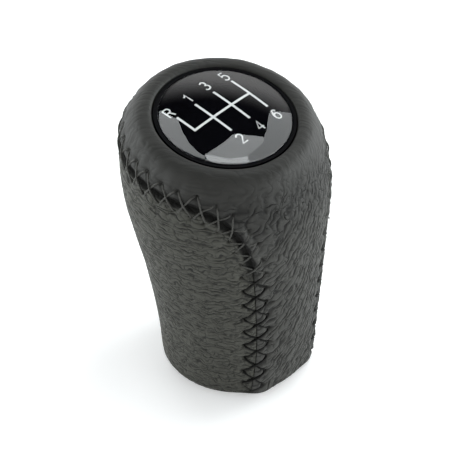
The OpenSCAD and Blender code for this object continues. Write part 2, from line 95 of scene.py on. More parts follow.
@dataclass(frozen=True)
class BodyForm:
    """The leaning, flaring form of the knob, in millimetres, as the part's source has it."""

    knob_h: float = 70.0
    base_r: float = 17.8
    head_r: float = 25.0
    head_z: float = 56.0
    fullness: float = 1.6
    fullness_power: int = 5
    shoulder_power: float = 2.1
    lean: float = 5.3
    lean_from: float = 12.0
    lean_to: float = 64.0
    tilt_deg: float = 5.7
    tilt_from: float = 54.0
    tilt_to: float = 65.0
    edge_roll: float = 2.0
    corner_out: float = 1.1
    corner_deg: float = 28.0
    corner_fade_deg: float = 11.0
    corner_top: float = 20.0
    hem_w: float = 1.6
    crest_roll: float = 1.3
    wall_r: float = 17.2
    tuck_d: float = 3.8
    shoulder_l: float = 18.0
    leather_t: float = 0.9

    @property
    def roll_l(self) -> float:
        """Running length of the rolled lower edge."""
        return self.edge_roll * math.pi / 2

    @property
    def v_hem(self) -> float:
        """Place of the hem along the section."""
        return -self.roll_l - self.hem_w

    @property
    def v_head(self) -> float:
        """Place of the greatest radius along the section."""
        return self.head_z - self.edge_roll

    @property
    def v_crest(self) -> float:
        """Place of the crest along the section."""
        return self.v_head + self.shoulder_l

    @property
    def crest_l(self) -> float:
        """Running length of the roll beside the badge."""
        return self.crest_roll * math.pi / 2

    @property
    def v_tuck(self) -> float:
        """Place of the leather's end beside the badge."""
        return self.v_crest + self.crest_l + self.tuck_d - self.crest_roll

    def v_at(self, z: np.ndarray) -> np.ndarray:
        """Place along the section at a height.

        Args:
            z: heights below the crest.

        Returns:
            The places, in millimetres.
        """
        z = np.asarray(z, float)
        up = np.clip((z - self.head_z) / (self.knob_h - self.head_z), 0, 1)
        bend = np.degrees(np.arcsin(np.power(up, self.shoulder_power / 2)))
        return np.where(z <= self.head_z, z - self.edge_roll, self.v_head + self.shoulder_l / 90 * bend)

    def section(self, v: np.ndarray) -> tuple[np.ndarray, np.ndarray]:
        """Radius and height of the leather's surface.

        Args:
            v: places along the section, from the hem to the tuck.

        Returns:
            Radius and height, before lean and tilt.
        """
        v = np.asarray(v, float)
        power = 2 / self.shoulder_power
        a1 = np.radians(90 * (1 + v / self.roll_l))
        u = np.clip(v / self.v_head, 0, 1)
        full = u + self.fullness * u**self.fullness_power * (1 - u)
        a2 = np.radians(np.clip(90 * (v - self.v_head) / self.shoulder_l, 0, 90))
        a3 = np.radians(90 * (v - self.v_crest) / self.crest_l)
        crest_r = self.wall_r + self.crest_roll
        ends = (-self.roll_l, 0, self.v_head, self.v_crest, self.v_crest + self.crest_l)
        where = [v < end for end in ends]
        r = np.select(
            where,
            [
                self.base_r - self.edge_roll + v + self.roll_l,
                self.base_r - self.edge_roll * (1 - np.sin(a1)),
                self.base_r + (self.head_r - self.base_r) * full,
                crest_r + (self.head_r - crest_r) * np.power(np.clip(np.cos(a2), 0, 1), power),
                crest_r - self.crest_roll * np.sin(a3),
            ],
            self.wall_r,
        )
        z = np.select(
            where,
            [
                np.zeros_like(v),
                self.edge_roll * (1 - np.cos(a1)),
                self.edge_roll + v,
                self.head_z + (self.knob_h - self.head_z) * np.power(np.sin(a2), power),
                self.knob_h - self.crest_roll * (1 - np.cos(a3)),
            ],
            self.knob_h - self.crest_roll - (v - self.v_crest - self.crest_l),
        )
        return r, z

    def skin(self, deg: np.ndarray, v: np.ndarray, depth: np.ndarray | float = 0.0) -> np.ndarray:
        """Points of the body.

        Args:
            deg: angles from the driver side, in degrees.
            v: places along the section.
            depth: depths under the leather's surface.

        Returns:
            An array of points, in millimetres.
        """
        step = 0.01
        r, z = self.section(v)
        ra, za = self.section(np.asarray(v) - step)
        rb, zb = self.section(np.asarray(v) + step)
        run_r, run_z = rb - ra, zb - za
        size = np.maximum(np.hypot(run_r, run_z), 1e-9)
        r = r - depth * run_z / size
        z = z + depth * run_r / size
        around = np.abs((np.asarray(deg) + 180) % 360 - 180)
        corner = bell(around - self.corner_deg, self.corner_fade_deg)
        r = r + self.corner_out * corner * (1 - ramp(self.edge_roll, self.corner_top, z))
        phi = np.radians(self.tilt_deg) * ramp(self.tilt_from, self.tilt_to, z)
        fall = self.knob_h - z
        turn = np.radians(deg)
        y = -r * np.cos(turn)
        return np.stack(
            [
                r * np.sin(turn),
                self.lean * ramp(self.lean_from, self.lean_to, z) + fall * np.sin(phi) + y * np.cos(phi),
                self.knob_h - fall * np.cos(phi) + y * np.sin(phi),
            ],
            axis=-1,
        )

    def out(self, deg: np.ndarray, v: np.ndarray) -> np.ndarray:
        """Unit vectors out of the leather's surface."""
        n = self.skin(deg, v, -1.0) - self.skin(deg, v, 0.0)
        return n / np.linalg.norm(n, axis=-1, keepdims=True)

    def badge_frame(self) -> Matrix:
        """Frame of the badge in metres: origin on the crest plane, Z along the badge axis."""
        tilt = Matrix.Rotation(math.radians(self.tilt_deg), 4, "X")
        return Matrix.Translation((0, self.lean * MM, self.knob_h * MM)) @ tilt


@dataclass(frozen=True)
class SeamLine:
    """Course of the seam: up the driver side, out at the corners and level round the front."""

    form: BodyForm
    side_deg: float = 33.0
    foot_deg: float = 3.0
    foot_z: float = 20.0
    turn_z: float = 41.0
    level_deg: float = 66.0
    top_z: float = 61.9
    gap: float = 0.16
    start_z: float = 1.0
    fine: int = 900

    def deg_at(self, z: np.ndarray, off: float = 0.0) -> np.ndarray:
        """Half width of the tongue in degrees.

        Args:
            z: heights.
            off: how far the line is moved towards the front, in millimetres.

        Returns:
            Angles from the driver side, in degrees.
        """
        z = np.asarray(z, float)
        side = self.side_deg + off / (math.radians(1) * self.form.head_r)
        low = side + self.foot_deg * np.square(np.maximum(0, 1 - z / self.foot_z))
        s = np.clip((z - self.turn_z) / (self.top_z - off - self.turn_z), 0, 1)
        high = self.level_deg - (self.level_deg - side) * np.sqrt(np.maximum(0, 1 - s * s))
        return np.where(z < self.turn_z, low, high)

    def course(self) -> tuple[np.ndarray, np.ndarray, np.ndarray, np.ndarray]:
        """Fine points of one half of the seam.

        Returns:
            Angles, places along the section, points, and distances from the foot.
        """
        bend = np.radians(np.linspace(0, 90, self.fine))
        z = np.concatenate(
            [
                np.linspace(self.start_z, self.turn_z, self.fine)[:-1],
                self.turn_z + (self.top_z - self.turn_z) * np.sin(bend),
            ]
        )
        deg = np.concatenate([self.deg_at(z), np.linspace(self.level_deg, 180, 2 * self.fine)[1:]])
        v = self.form.v_at(np.concatenate([z, np.full(2 * self.fine - 1, self.top_z)]))
        points = self.form.skin(deg, v)
        steps = np.linalg.norm(np.diff(points, axis=0), axis=1)
        return deg, v, points, np.concatenate([[0.0], np.cumsum(steps)])


@dataclass(frozen=True)
class LaceLayout:
    """Holes and crossings of the lacing along the seam, in millimetres."""

    pitch: float = 4.6
    first: float = 3.1
    reach: float = 2.9
    thread_r: float = 0.23
    uneven: float = 0.5
    reach_uneven: float = 0.6
    most: int = 60
    salt: int = 71
    reach_salt: int = 29

    def holes(self) -> np.ndarray:
        """Places of the holes along the seam, as unevenly as by hand."""
        k = np.arange(self.most) - 1
        return self.first + self.pitch * k + self.uneven * (scatter(k + 1, k * 0, self.salt) - 0.5)

    def phase(self, s: np.ndarray) -> np.ndarray:
        """Place between two holes, from 0 at one hole to 1 at the next."""
        return np.interp(s, self.holes(), np.arange(self.most)) % 1.0

    def reach_at(self, s: np.ndarray) -> np.ndarray:
        """Distance of the holes from the seam near a place along it."""
        shift = scatter(np.arange(self.most), np.zeros(self.most), self.reach_salt) - 0.5
        return np.interp(s, self.holes(), self.reach + self.reach_uneven * shift)


class Side(Enum):
    """Side of the seam that a panel lies on."""

    HOOD = 1
    WRAP = -1


# Grain of the leather


def waves(x: np.ndarray, y: np.ndarray, salt: int) -> np.ndarray:
    """Smooth, uneven waves, from about -0.7 to 0.7.

    Args:
        x: places across, one cell wide each.
        y: places along, one cell high each.
        salt: a number that makes one set of waves differ from another.

    Returns:
        The height at each place.
    """
    ci, cj = np.floor(x), np.floor(y)
    fx, fy = x - ci, y - cj
    u, v = ramp(0, 1, fx), ramp(0, 1, fy)

    def pull(di: int, dj: int) -> np.ndarray:
        """Slope of one corner of the cell."""
        turn = 2 * math.pi * scatter(ci + di, cj + dj, salt)
        return np.cos(turn) * (fx - di) + np.sin(turn) * (fy - dj)

    low = pull(0, 0) * (1 - u) + pull(1, 0) * u
    high = pull(0, 1) * (1 - u) + pull(1, 1) * u
    return low * (1 - v) + high * v


def rippled(x: np.ndarray, y: np.ndarray, fine: tuple, salt: int) -> np.ndarray:
    """Smooth waves with smaller ripples on them.

    Args:
        x: places across, one wave wide each.
        y: places along, one wave high each.
        fine: how many ripples go to a wave, across and along.
        salt: a number that makes one set of waves differ from another.

    Returns:
        The height at each place.
    """
    return waves(x, y, salt) + RIPPLE * waves(fine[0] * x, fine[1] * y, salt + 1)


def valley(phase: np.ndarray, width: float) -> np.ndarray:
    """1 at each whole phase, falling to 0 at width of the spacing away."""
    return 1 - ramp(0.0, width, np.abs((phase + 0.5) % 1.0 - 0.5))


def swell(points: np.ndarray, length: float, salt: int) -> np.ndarray:
    """Slow, smooth unevenness of a surface, from about -1 to 1.

    Args:
        points: points in millimetres.
        length: typical length of a swell.
        salt: a number that makes one surface differ from another.

    Returns:
        The height at each point.
    """
    rng = np.random.default_rng(salt)
    total = np.zeros(len(points))
    for _ in range(SWELL_WAVES):
        way = rng.normal(size=3)
        way *= 2 * math.pi / length / np.linalg.norm(way) * rng.uniform(*SWELL_SPREAD)
        total += np.sin(points @ way + rng.uniform(0, 2 * math.pi))
    return total / 3.0


@dataclass(frozen=True)
class GrainScale:
    """Sizes of a leather grain, in millimetres.

    Creases run on at a pitch, and short links cross between them. Wander is in spacings, and ripples are
    counted to a wave. A share says how strong creases are, and a spread how unevenly they come and go.
    """

    pitch: float = 1.1
    long: float = 2.3
    tall: float = 1.5
    wander: float = 1.25
    ripples: tuple = (2.1, 2.1)
    run_share: float = 0.72
    run_spread: float = 1.5
    broken: float = 2.4
    broken_tall: float = 1.3
    link: float = 2.0
    link_squeeze: float = 1.3
    link_wander: float = 1.3
    link_ripples: tuple = (2.3, 2.7)
    link_share: float = 0.8
    link_mean: float = 0.55
    link_spread: float = 1.7
    cut: float = 1.7
    cut_tall: float = 1.2
    relief: float = 0.19
    valley: float = 0.38

    def creases(self, x: np.ndarray, y: np.ndarray, salt: int) -> dict:
        """Phases of the creases and of the short links between them, and their strengths.

        Args:
            x: places along the creases.
            y: places across them.
            salt: a number that makes one grain differ from another.

        Returns:
            Values by name, where a crease lies at each whole phase.
        """
        squeeze, fine = self.link_squeeze, self.link_ripples
        bend = rippled(x / self.long, y / self.tall, self.ripples, salt)
        side = rippled(x / self.link, squeeze * y / self.link, (fine[0], fine[1] / squeeze), salt + 2)
        share = self.run_share + self.run_spread * waves(x / self.broken, y / self.broken_tall, salt + 4)
        cross = self.link_mean + self.link_spread * waves(x / self.cut, y / self.cut_tall, salt + 5)
        return {
            "run": y / self.pitch + self.wander * bend,
            "link": x / self.link + self.link_wander * side,
            "run_share": np.clip(share, 0, 1),
            "link_share": np.clip(self.link_share * cross, 0, 1),
        }


TONGUE_GRAIN = GrainScale(
    pitch=1.35, long=3.3, tall=1.9, wander=1.1, broken=2.4, link=2.2, link_share=0.9, relief=0.22
)


# Materials


class Tree:
    """A material's node tree with short calls to fill it."""

    def __init__(self, name: str) -> None:
        """Makes an empty material.

        Args:
            name: the material's name.
        """
        self.material = bpy.data.materials.new(name)
        self.material.use_nodes = True
        self.tree = self.material.node_tree
        self.tree.nodes.clear()
        self.out = self.tree.nodes.new("ShaderNodeOutputMaterial")

    def node(self, kind: str, settings: dict | None = None, **inputs: object) -> bpy.types.Node:
        """Adds a node.

        Args:
            kind: the node's type.
            settings: attributes of the node itself.
            inputs: socket values or output sockets, by name with _ for a space, or as i0, i1 and so on.

        Returns:
            The node.
        """
        made = self.tree.nodes.new(kind)
        for key, value in (settings or {}).items():
            setattr(made, key, value)
        for key, value in inputs.items():
            numbered = key[0] == "i" and key[1:].isdigit()
            socket = made.inputs[int(key[1:]) if numbered else key.replace("_", " ")]
            if isinstance(value, bpy.types.NodeSocket):
                self.tree.links.new(value, socket)
            else:
                socket.default_value = value
        return made

    def math(self, operation: str, a: object, b: object = 0.0) -> bpy.types.NodeSocket:
        """Result of a math node on a and b."""
        return self.node("ShaderNodeMath", {"operation": operation}, i0=a, i1=b).outputs[0]

    def blend(self, share: object, a: tuple, b: tuple) -> bpy.types.NodeSocket:
        """Mixes two colours.

        Args:
            share: the output socket that mixes them.
            a: the colour at 0.
            b: the colour at 1.

        Returns:
            The mixed colour.
        """
        made = self.tree.nodes.new("ShaderNodeValToRGB")
        made.color_ramp.elements[0].color = (*a, 1)
        made.color_ramp.elements[1].color = (*b, 1)
        self.tree.links.new(share, made.inputs[0])
        return made.outputs[0]

    def levels(self, share: object, low: float, high: float) -> bpy.types.NodeSocket:
        """Number that goes from low to high as share goes from 0 to 1."""
        return self.node("ShaderNodeMapRange", None, Value=share, To_Min=low, To_Max=high).outputs[0]

    def noise(self, scale: float, detail: float = 3.0, stretch: tuple = (1, 1, 1)) -> bpy.types.NodeSocket:
        """Noise on the object's own coordinates.

        Args:
            scale: features a metre.
            detail: how many finer layers it has.
            stretch: scale along each axis.

        Returns:
            A number from 0 to 1.
        """
        coords = self.node("ShaderNodeTexCoord").outputs["Object"]
        placed = self.node("ShaderNodeMapping", None, Vector=coords, Scale=stretch).outputs[0]
        return self.node("ShaderNodeTexNoise", None, Vector=placed, Scale=scale, Detail=detail).outputs[0]

    def lines(self, phase: object, width: float) -> bpy.types.NodeSocket:
        """Lines where a phase is whole.

        Args:
            phase: the phase, as an output socket.
            width: half the width of a line, as a share of the spacing.

        Returns:
            1 on each line, falling smoothly to 0 beside it.
        """
        part = self.math("FRACT", self.math("ADD", phase, 0.5))
        off = self.math("ABSOLUTE", self.math("SUBTRACT", part, 0.5))
        smooth = {"interpolation_type": "SMOOTHSTEP"}
        fall = self.node("ShaderNodeMapRange", smooth, Value=off, From_Max=width, To_Min=1.0, To_Max=0.0)
        return fall.outputs[0]

    def value(self, name: str) -> bpy.types.NodeSocket:
        """Number stored at the mesh's points under that name."""
        return self.node("ShaderNodeAttribute", {"attribute_name": name}).outputs["Fac"]

    def cell_edges(self, scale: float) -> bpy.types.NodeSocket:
        """Distance from the edges of small cells on the object's own coordinates.

        Args:
            scale: cells a metre.

        Returns:
            0 on the edges of the cells.
        """
        coords = self.node("ShaderNodeTexCoord").outputs["Object"]
        to_edge = {"feature": "DISTANCE_TO_EDGE"}
        return self.node("ShaderNodeTexVoronoi", to_edge, Vector=coords, Scale=scale).outputs[0]

    def bump(
        self, height: object, depth_mm: float, strength: float = 1.0, under: object = None
    ) -> bpy.types.NodeSocket:
        """Bumps the normal.

        Args:
            height: height as an output socket.
            depth_mm: depth of the bumps in millimetres, or below 0 where high means deep.
            strength: how much of them shows.
            under: a normal to start from, or None for the plain one.

        Returns:
            The bumped normal.
        """
        inputs = {"Height": height, "Distance": depth_mm * MM, "Strength": strength}
        if under is not None:
            inputs["Normal"] = under
        return self.node("ShaderNodeBump", None, **inputs).outputs[0]

    def surface(self, **inputs: object) -> bpy.types.Material:
        """Closes the material with a Principled shader.

        Args:
            inputs: the shader's socket values or output sockets.

        Returns:
            The finished material.
        """
        shader = self.node("ShaderNodeBsdfPrincipled", None, **inputs)
        self.tree.links.new(shader.outputs[0], self.out.inputs[0])
        return self.material


@dataclass(frozen=True)
class LeatherFinish:
    """Grained, dyed leather, duller in its creases, with painted shade in its creases and along the seam."""

    name: str = "wrap_leather"
    ridge: tuple = (0.0405, 0.041, 0.034)
    crease: tuple = (0.0085, 0.0085, 0.0075)
    gloss: float = 0.52
    dull: float = 0.72
    seam_dull: float = 0.24
    cloud_dull: float = 0.04
    specular: float = 0.2
    tone: tuple = (0.86, 1.12)
    cloud: float = 0.12
    cloud_scale: float = 180.0
    line: float = 0.34
    link_line: float = 0.2
    line_dark: float = 0.95
    line_depth_mm: float = 0.14
    shake: float = 0.12
    shake_scale: float = 2400.0
    pore_mm: float = 0.30
    pore_depth_mm: float = 0.05
    pore_edge: float = 0.25
    pore_strength: float = 0.6
    fibre: float = 0.25
    fibre_scale: float = 5200.0

    def creases(self, t: Tree, name: str, shake: object, width: float) -> bpy.types.NodeSocket:
        """Strength of one set of creases.

        Args:
            t: the material's tree.
            name: name under which the mesh stores their phase.
            shake: small unevenness of the phase.
            width: half the width of a crease, as a share of the spacing.

        Returns:
            1 in the middle of a strong crease, 0 beside it.
        """
        phase = t.math("ADD", t.value(name), shake)
        return t.math("MULTIPLY", t.lines(phase, width), t.value(name + "_share"))

    def build(self) -> bpy.types.Material:
        """Makes the material, with the grain read from the mesh's values.

        Returns:
            The material.
        """
        t = Tree(self.name)
        # Painted shade along the seam, read from the mesh.
        band = t.value("crease")
        shake = t.levels(t.noise(self.shake_scale, 2.0), -self.shake, self.shake)
        run = self.creases(t, "run", shake, self.line)
        link = self.creases(t, "link", shake, self.link_line)
        fine = t.math("MAXIMUM", run, link)
        # Painted shade in the grain's creases joins the seam's; it darkens the colour and dulls the gloss.
        crease = t.math("MAXIMUM", band, t.math("MULTIPLY", fine, self.line_dark))
        cloud = t.noise(self.cloud_scale, 4.0)
        lift = t.math("ADD", t.levels(t.value("tone"), *self.tone), t.levels(cloud, -self.cloud, self.cloud))
        base = t.blend(crease, self.ridge, self.crease)
        colour = t.node("ShaderNodeVectorMath", {"operation": "SCALE"}, i0=base)
        # The shade value is painted shade: darker on the hood's top and along the seam.
        t.tree.links.new(t.math("MULTIPLY", lift, t.value("shade")), colour.inputs["Scale"])
        pores = t.math("MINIMUM", t.cell_edges(1 / MM / self.pore_mm), self.pore_edge)
        relief = t.math("ADD", pores, t.math("MULTIPLY", t.noise(self.fibre_scale), self.fibre))
        patches = t.levels(cloud, -self.cloud_dull, self.cloud_dull)
        rough = t.math("ADD", t.levels(crease, self.gloss, self.dull), patches)
        return t.surface(
            Base_Color=colour.outputs[0],
            Roughness=t.math("ADD", rough, t.levels(band, 0.0, self.seam_dull)),
            Normal=t.bump(relief, self.pore_depth_mm, self.pore_strength, t.bump(fine, -self.line_depth_mm)),
            Specular_IOR_Level=self.specular,
        )


# The hood's leather is the wrap's made a little darker and less warm: painted shade for how light falls on
# the tongue and hood.
HOOD_FINISH = LeatherFinish("hood_leather", (0.036, 0.0363, 0.033), (0.0075, 0.0075, 0.007))


@dataclass(frozen=True)
class ThreadFinish:
    """Waxed, twisted sewing thread."""

    name: str = "lacing_thread"
    light: tuple = (0.066, 0.066, 0.060)
    # Colour between the twisted plies: painted shade in the twist's grooves.
    groove_shade: tuple = (0.024, 0.024, 0.022)
    # Colour where the thread lies sunk beside the tongue: painted shade.
    sunk: tuple = (0.005, 0.005, 0.0045)
    rough: tuple = (0.36, 0.52)
    sunk_dull: float = 0.35
    specular: float = 0.14
    fuzz_scale: float = 9000.0
    fuzz_depth_mm: float = 0.03

    def build(self) -> bpy.types.Material:
        """Makes the material, with painted shade between the plies and where the thread lies sunk in the
        leather.

        Returns:
            The material.
        """
        t = Tree(self.name)
        # sunk: share of painted shade where the thread lies in the leather beside the tongue.
        sunk = t.value("sunk")
        fuzz = t.noise(self.fuzz_scale, 2.0)
        colour = t.node("ShaderNodeMix", {"data_type": "RGBA"}, Factor=sunk, B=(*self.sunk, 1))
        t.tree.links.new(t.blend(t.value("ply"), self.groove_shade, self.light), colour.inputs["A"])
        return t.surface(
            Base_Color=colour.outputs["Result"],
            Roughness=t.math("ADD", t.levels(fuzz, *self.rough), t.levels(sunk, 0.0, self.sunk_dull)),
            Normal=t.bump(fuzz, self.fuzz_depth_mm, 0.5),
            Specular_IOR_Level=self.specular,
        )


@dataclass(frozen=True)
class MouldedFinish:
    """Moulded plastic, rubber or foam with a fine eroded skin."""

    name: str
    colour: tuple
    shade: tuple
    roughness: float = 0.5
    uneven: float = 0.06
    cloud_scale: float = 90.0
    grain_mm: float = 0.35
    grain_depth_mm: float = 0.02
    grain_strength: float = 0.7
    specular: float = 0.5

    def build(self) -> bpy.types.Material:
        """Makes the material.

        Returns:
            The material.
        """
        t = Tree(self.name)
        fine = t.noise(1 / MM / self.grain_mm)
        return t.surface(
            Base_Color=t.blend(t.noise(self.cloud_scale, 2.0), self.shade, self.colour),
            Roughness=t.levels(fine, self.roughness - self.uneven, self.roughness + self.uneven),
            Normal=t.bump(fine, self.grain_depth_mm, self.grain_strength),
            Specular_IOR_Level=self.specular,
        )


@dataclass(frozen=True)
class BrassFinish:
    """Turned brass with fine tool rings."""

    name: str = "insert_brass"
    colour: tuple = (0.62, 0.44, 0.18)
    shade: tuple = (0.42, 0.29, 0.12)
    rough: tuple = (0.23, 0.40)
    ring_scale: float = 4000.0
    ring_stretch: tuple = (0.05, 0.05, 1.0)
    ring_depth_mm: float = 0.01

    def build(self) -> bpy.types.Material:
        """Makes the material.

        Returns:
            The material.
        """
        t = Tree(self.name)
        rings = t.noise(self.ring_scale, 2.0, self.ring_stretch)
        return t.surface(
            Base_Color=t.blend(rings, self.shade, self.colour),
            Metallic=1.0,
            Roughness=t.levels(rings, *self.rough),
            Normal=t.bump(rings, self.ring_depth_mm, 0.5),
        )


@dataclass(frozen=True)
class InkFinish:
    """Printed ink on the plate, slightly uneven."""

    name: str
    colour: tuple
    shade: tuple
    roughness: float = 0.4
    cloud_scale: float = 1500.0

    def build(self) -> bpy.types.Material:
        """Makes the material.

        Returns:
            The material.
        """
        t = Tree(self.name)
        colour = t.blend(t.noise(self.cloud_scale, 2.0), self.shade, self.colour)
        return t.surface(Base_Color=colour, Roughness=self.roughness, Specular_IOR_Level=0.0)


@dataclass(frozen=True)
class ResinFinish:
    """Clear cast resin that lets light through to the print."""

    name: str = "clear_resin"
    ior: float = 1.5
    tint: tuple = (0.97, 0.98, 0.99)
    shadow_tint: tuple = (0.93, 0.94, 0.95)

    def build(self) -> bpy.types.Material:
        """Makes the material: glass to the eye, open to the light that falls on the print.

        Returns:
            The material.
        """
        t = Tree(self.name)
        glass = t.node(
            "ShaderNodeBsdfPrincipled",
            None,
            Base_Color=(*self.tint, 1),
            Roughness=0.0,
            IOR=self.ior,
            Transmission_Weight=1.0,
        )
        clear = t.node("ShaderNodeBsdfTransparent", None, Color=(*self.shadow_tint, 1))
        shadow = t.node("ShaderNodeLightPath").outputs["Is Shadow Ray"]
        mix = t.node("ShaderNodeMixShader", None, Fac=shadow, i1=glass.outputs[0], i2=clear.outputs[0])
        t.tree.links.new(mix.outputs[0], t.out.inputs[0])
        return t.material


# Meshes


def add_mesh(
    name: str, points: np.ndarray, faces: list, values: dict | None = None, smooth: bool = True
) -> bpy.types.Object:
    """Adds a mesh object.

    Args:
        name: the piece's name.
        points: its points in millimetres.
        faces: its faces as lists of point numbers.
        values: numbers for each point, by attribute name.
        smooth: whether it is shaded smooth.

    Returns:
        The object, in metres, in the row frame.
    """
    mesh = bpy.data.meshes.new(name)
    mesh.from_pydata((np.asarray(points) * MM).tolist(), [], faces)
    for key, numbers in (values or {}).items():
        stored = mesh.attributes.new(key, "FLOAT", "POINT")
        stored.data.foreach_set("value", np.asarray(numbers, np.float32))
    mesh.polygons.foreach_set("use_smooth", [smooth] * len(mesh.polygons))
    mesh.update()
    made = bpy.data.objects.new(name, mesh)
    bpy.context.scene.collection.objects.link(made)
    return made


def dress(piece: bpy.types.Object, material: bpy.types.Material) -> None:
    """Gives a piece one material."""
    piece.data.materials.clear()
    piece.data.materials.append(material)


def redress(node: bpy.types.Object, material: bpy.types.Material, edge_mm: float = 0.0) -> None:
    """Gives a CAD node a material through its object's slots, and soft edges.

    Args:
        node: the CAD node.
        material: its new material.
        edge_mm: width of the rounded edges, or 0 for none.
    """
    for slot in node.material_slots:
        slot.link = "OBJECT"
        slot.material = material
    if not node.material_slots:
        node.data.materials.append(None)
        node.material_slots[0].link = "OBJECT"
        node.material_slots[0].material = material
    if edge_mm:
        bevel = node.modifiers.new("edges", "BEVEL")
        bevel.width = edge_mm * MM
        bevel.segments = BEVEL_SEGMENTS
        bevel.limit_method = "ANGLE"
        bevel.angle_limit = math.radians(BEVEL_ABOVE_DEG)


def dress_nodes(nodes: dict, finishes: dict) -> None:
    """Gives CAD nodes their materials and soft edges.

    Args:
        nodes: the frame's nodes by name.
        finishes: finish and width of the rounded edges in millimetres, by the node's name.
    """
    for name, (finish, edge_mm) in finishes.items():
        redress(nodes[name], finish.build(), edge_mm)


def grid_faces(ids: np.ndarray) -> np.ndarray:
    """Four-sided faces between the rows and columns of a grid of point numbers."""
    corners = [ids[:-1, :-1], ids[:-1, 1:], ids[1:, 1:], ids[1:, :-1]]
    return np.stack(corners, axis=-1).reshape(-1, 4)


def lathe(name: str, outline: list, turns: int = 96) -> bpy.types.Object:
    """Turns a closed outline round the Z axis.

    Args:
        name: the piece's name.
        outline: radius and height pairs in millimetres; a radius of 0 closes on the axis.
        turns: number of steps round.

    Returns:
        The object.
    """
    circle = [(math.cos(2 * math.pi * k / turns), math.sin(2 * math.pi * k / turns)) for k in range(turns)]
    points, rings = [], []
    for r, z in outline:
        if r <= 0:
            rings.append([len(points)] * turns)
            points.append((0, 0, z))
        else:
            rings.append([len(points) + k for k in range(turns)])
            points += [(r * x, r * y, z) for x, y in circle]
    faces = []
    for low, high in zip(rings, rings[1:] + rings[:1]):
        for k in range(turns):
            j = (k + 1) % turns
            face = list(dict.fromkeys([low[k], low[j], high[j], high[k]]))
            if len(face) > 2:
                faces.append(face)
    return add_mesh(name, np.array(points), faces)


# Leather panels


@dataclass
class PanelMesh:
    """Points of a leather panel on the body, its cells and its edges."""

    deg: list = field(default_factory=list)
    v: list = field(default_factory=list)
    cells: list = field(default_factory=list)
    coarse: list = field(default_factory=list)
    loops: list = field(default_factory=list)
    count: int = 0

    def add(self, deg: np.ndarray, v: np.ndarray) -> np.ndarray:
        """Adds points.

        Args:
            deg: angles of the points.
            v: places along the section.

        Returns:
            Their numbers, in the same shape.
        """
        ids = np.arange(self.count, self.count + deg.size).reshape(deg.shape)
        self.deg.append(deg.ravel())
        self.v.append(np.broadcast_to(v, deg.shape).ravel())
        self.count += deg.size
        return ids

    def weave(self, ids: np.ndarray, every: int) -> None:
        """Adds the cells between rows and columns of points, fine outside and coarse inside.

        Args:
            ids: point numbers by row and column.
            every: how many fine cells a coarse one spans.
        """
        self.cells += grid_faces(ids).tolist()
        rows, cols = (sorted({*range(0, size, every), size - 1}) for size in ids.shape)
        self.coarse += grid_faces(ids[np.ix_(rows, cols)]).tolist()


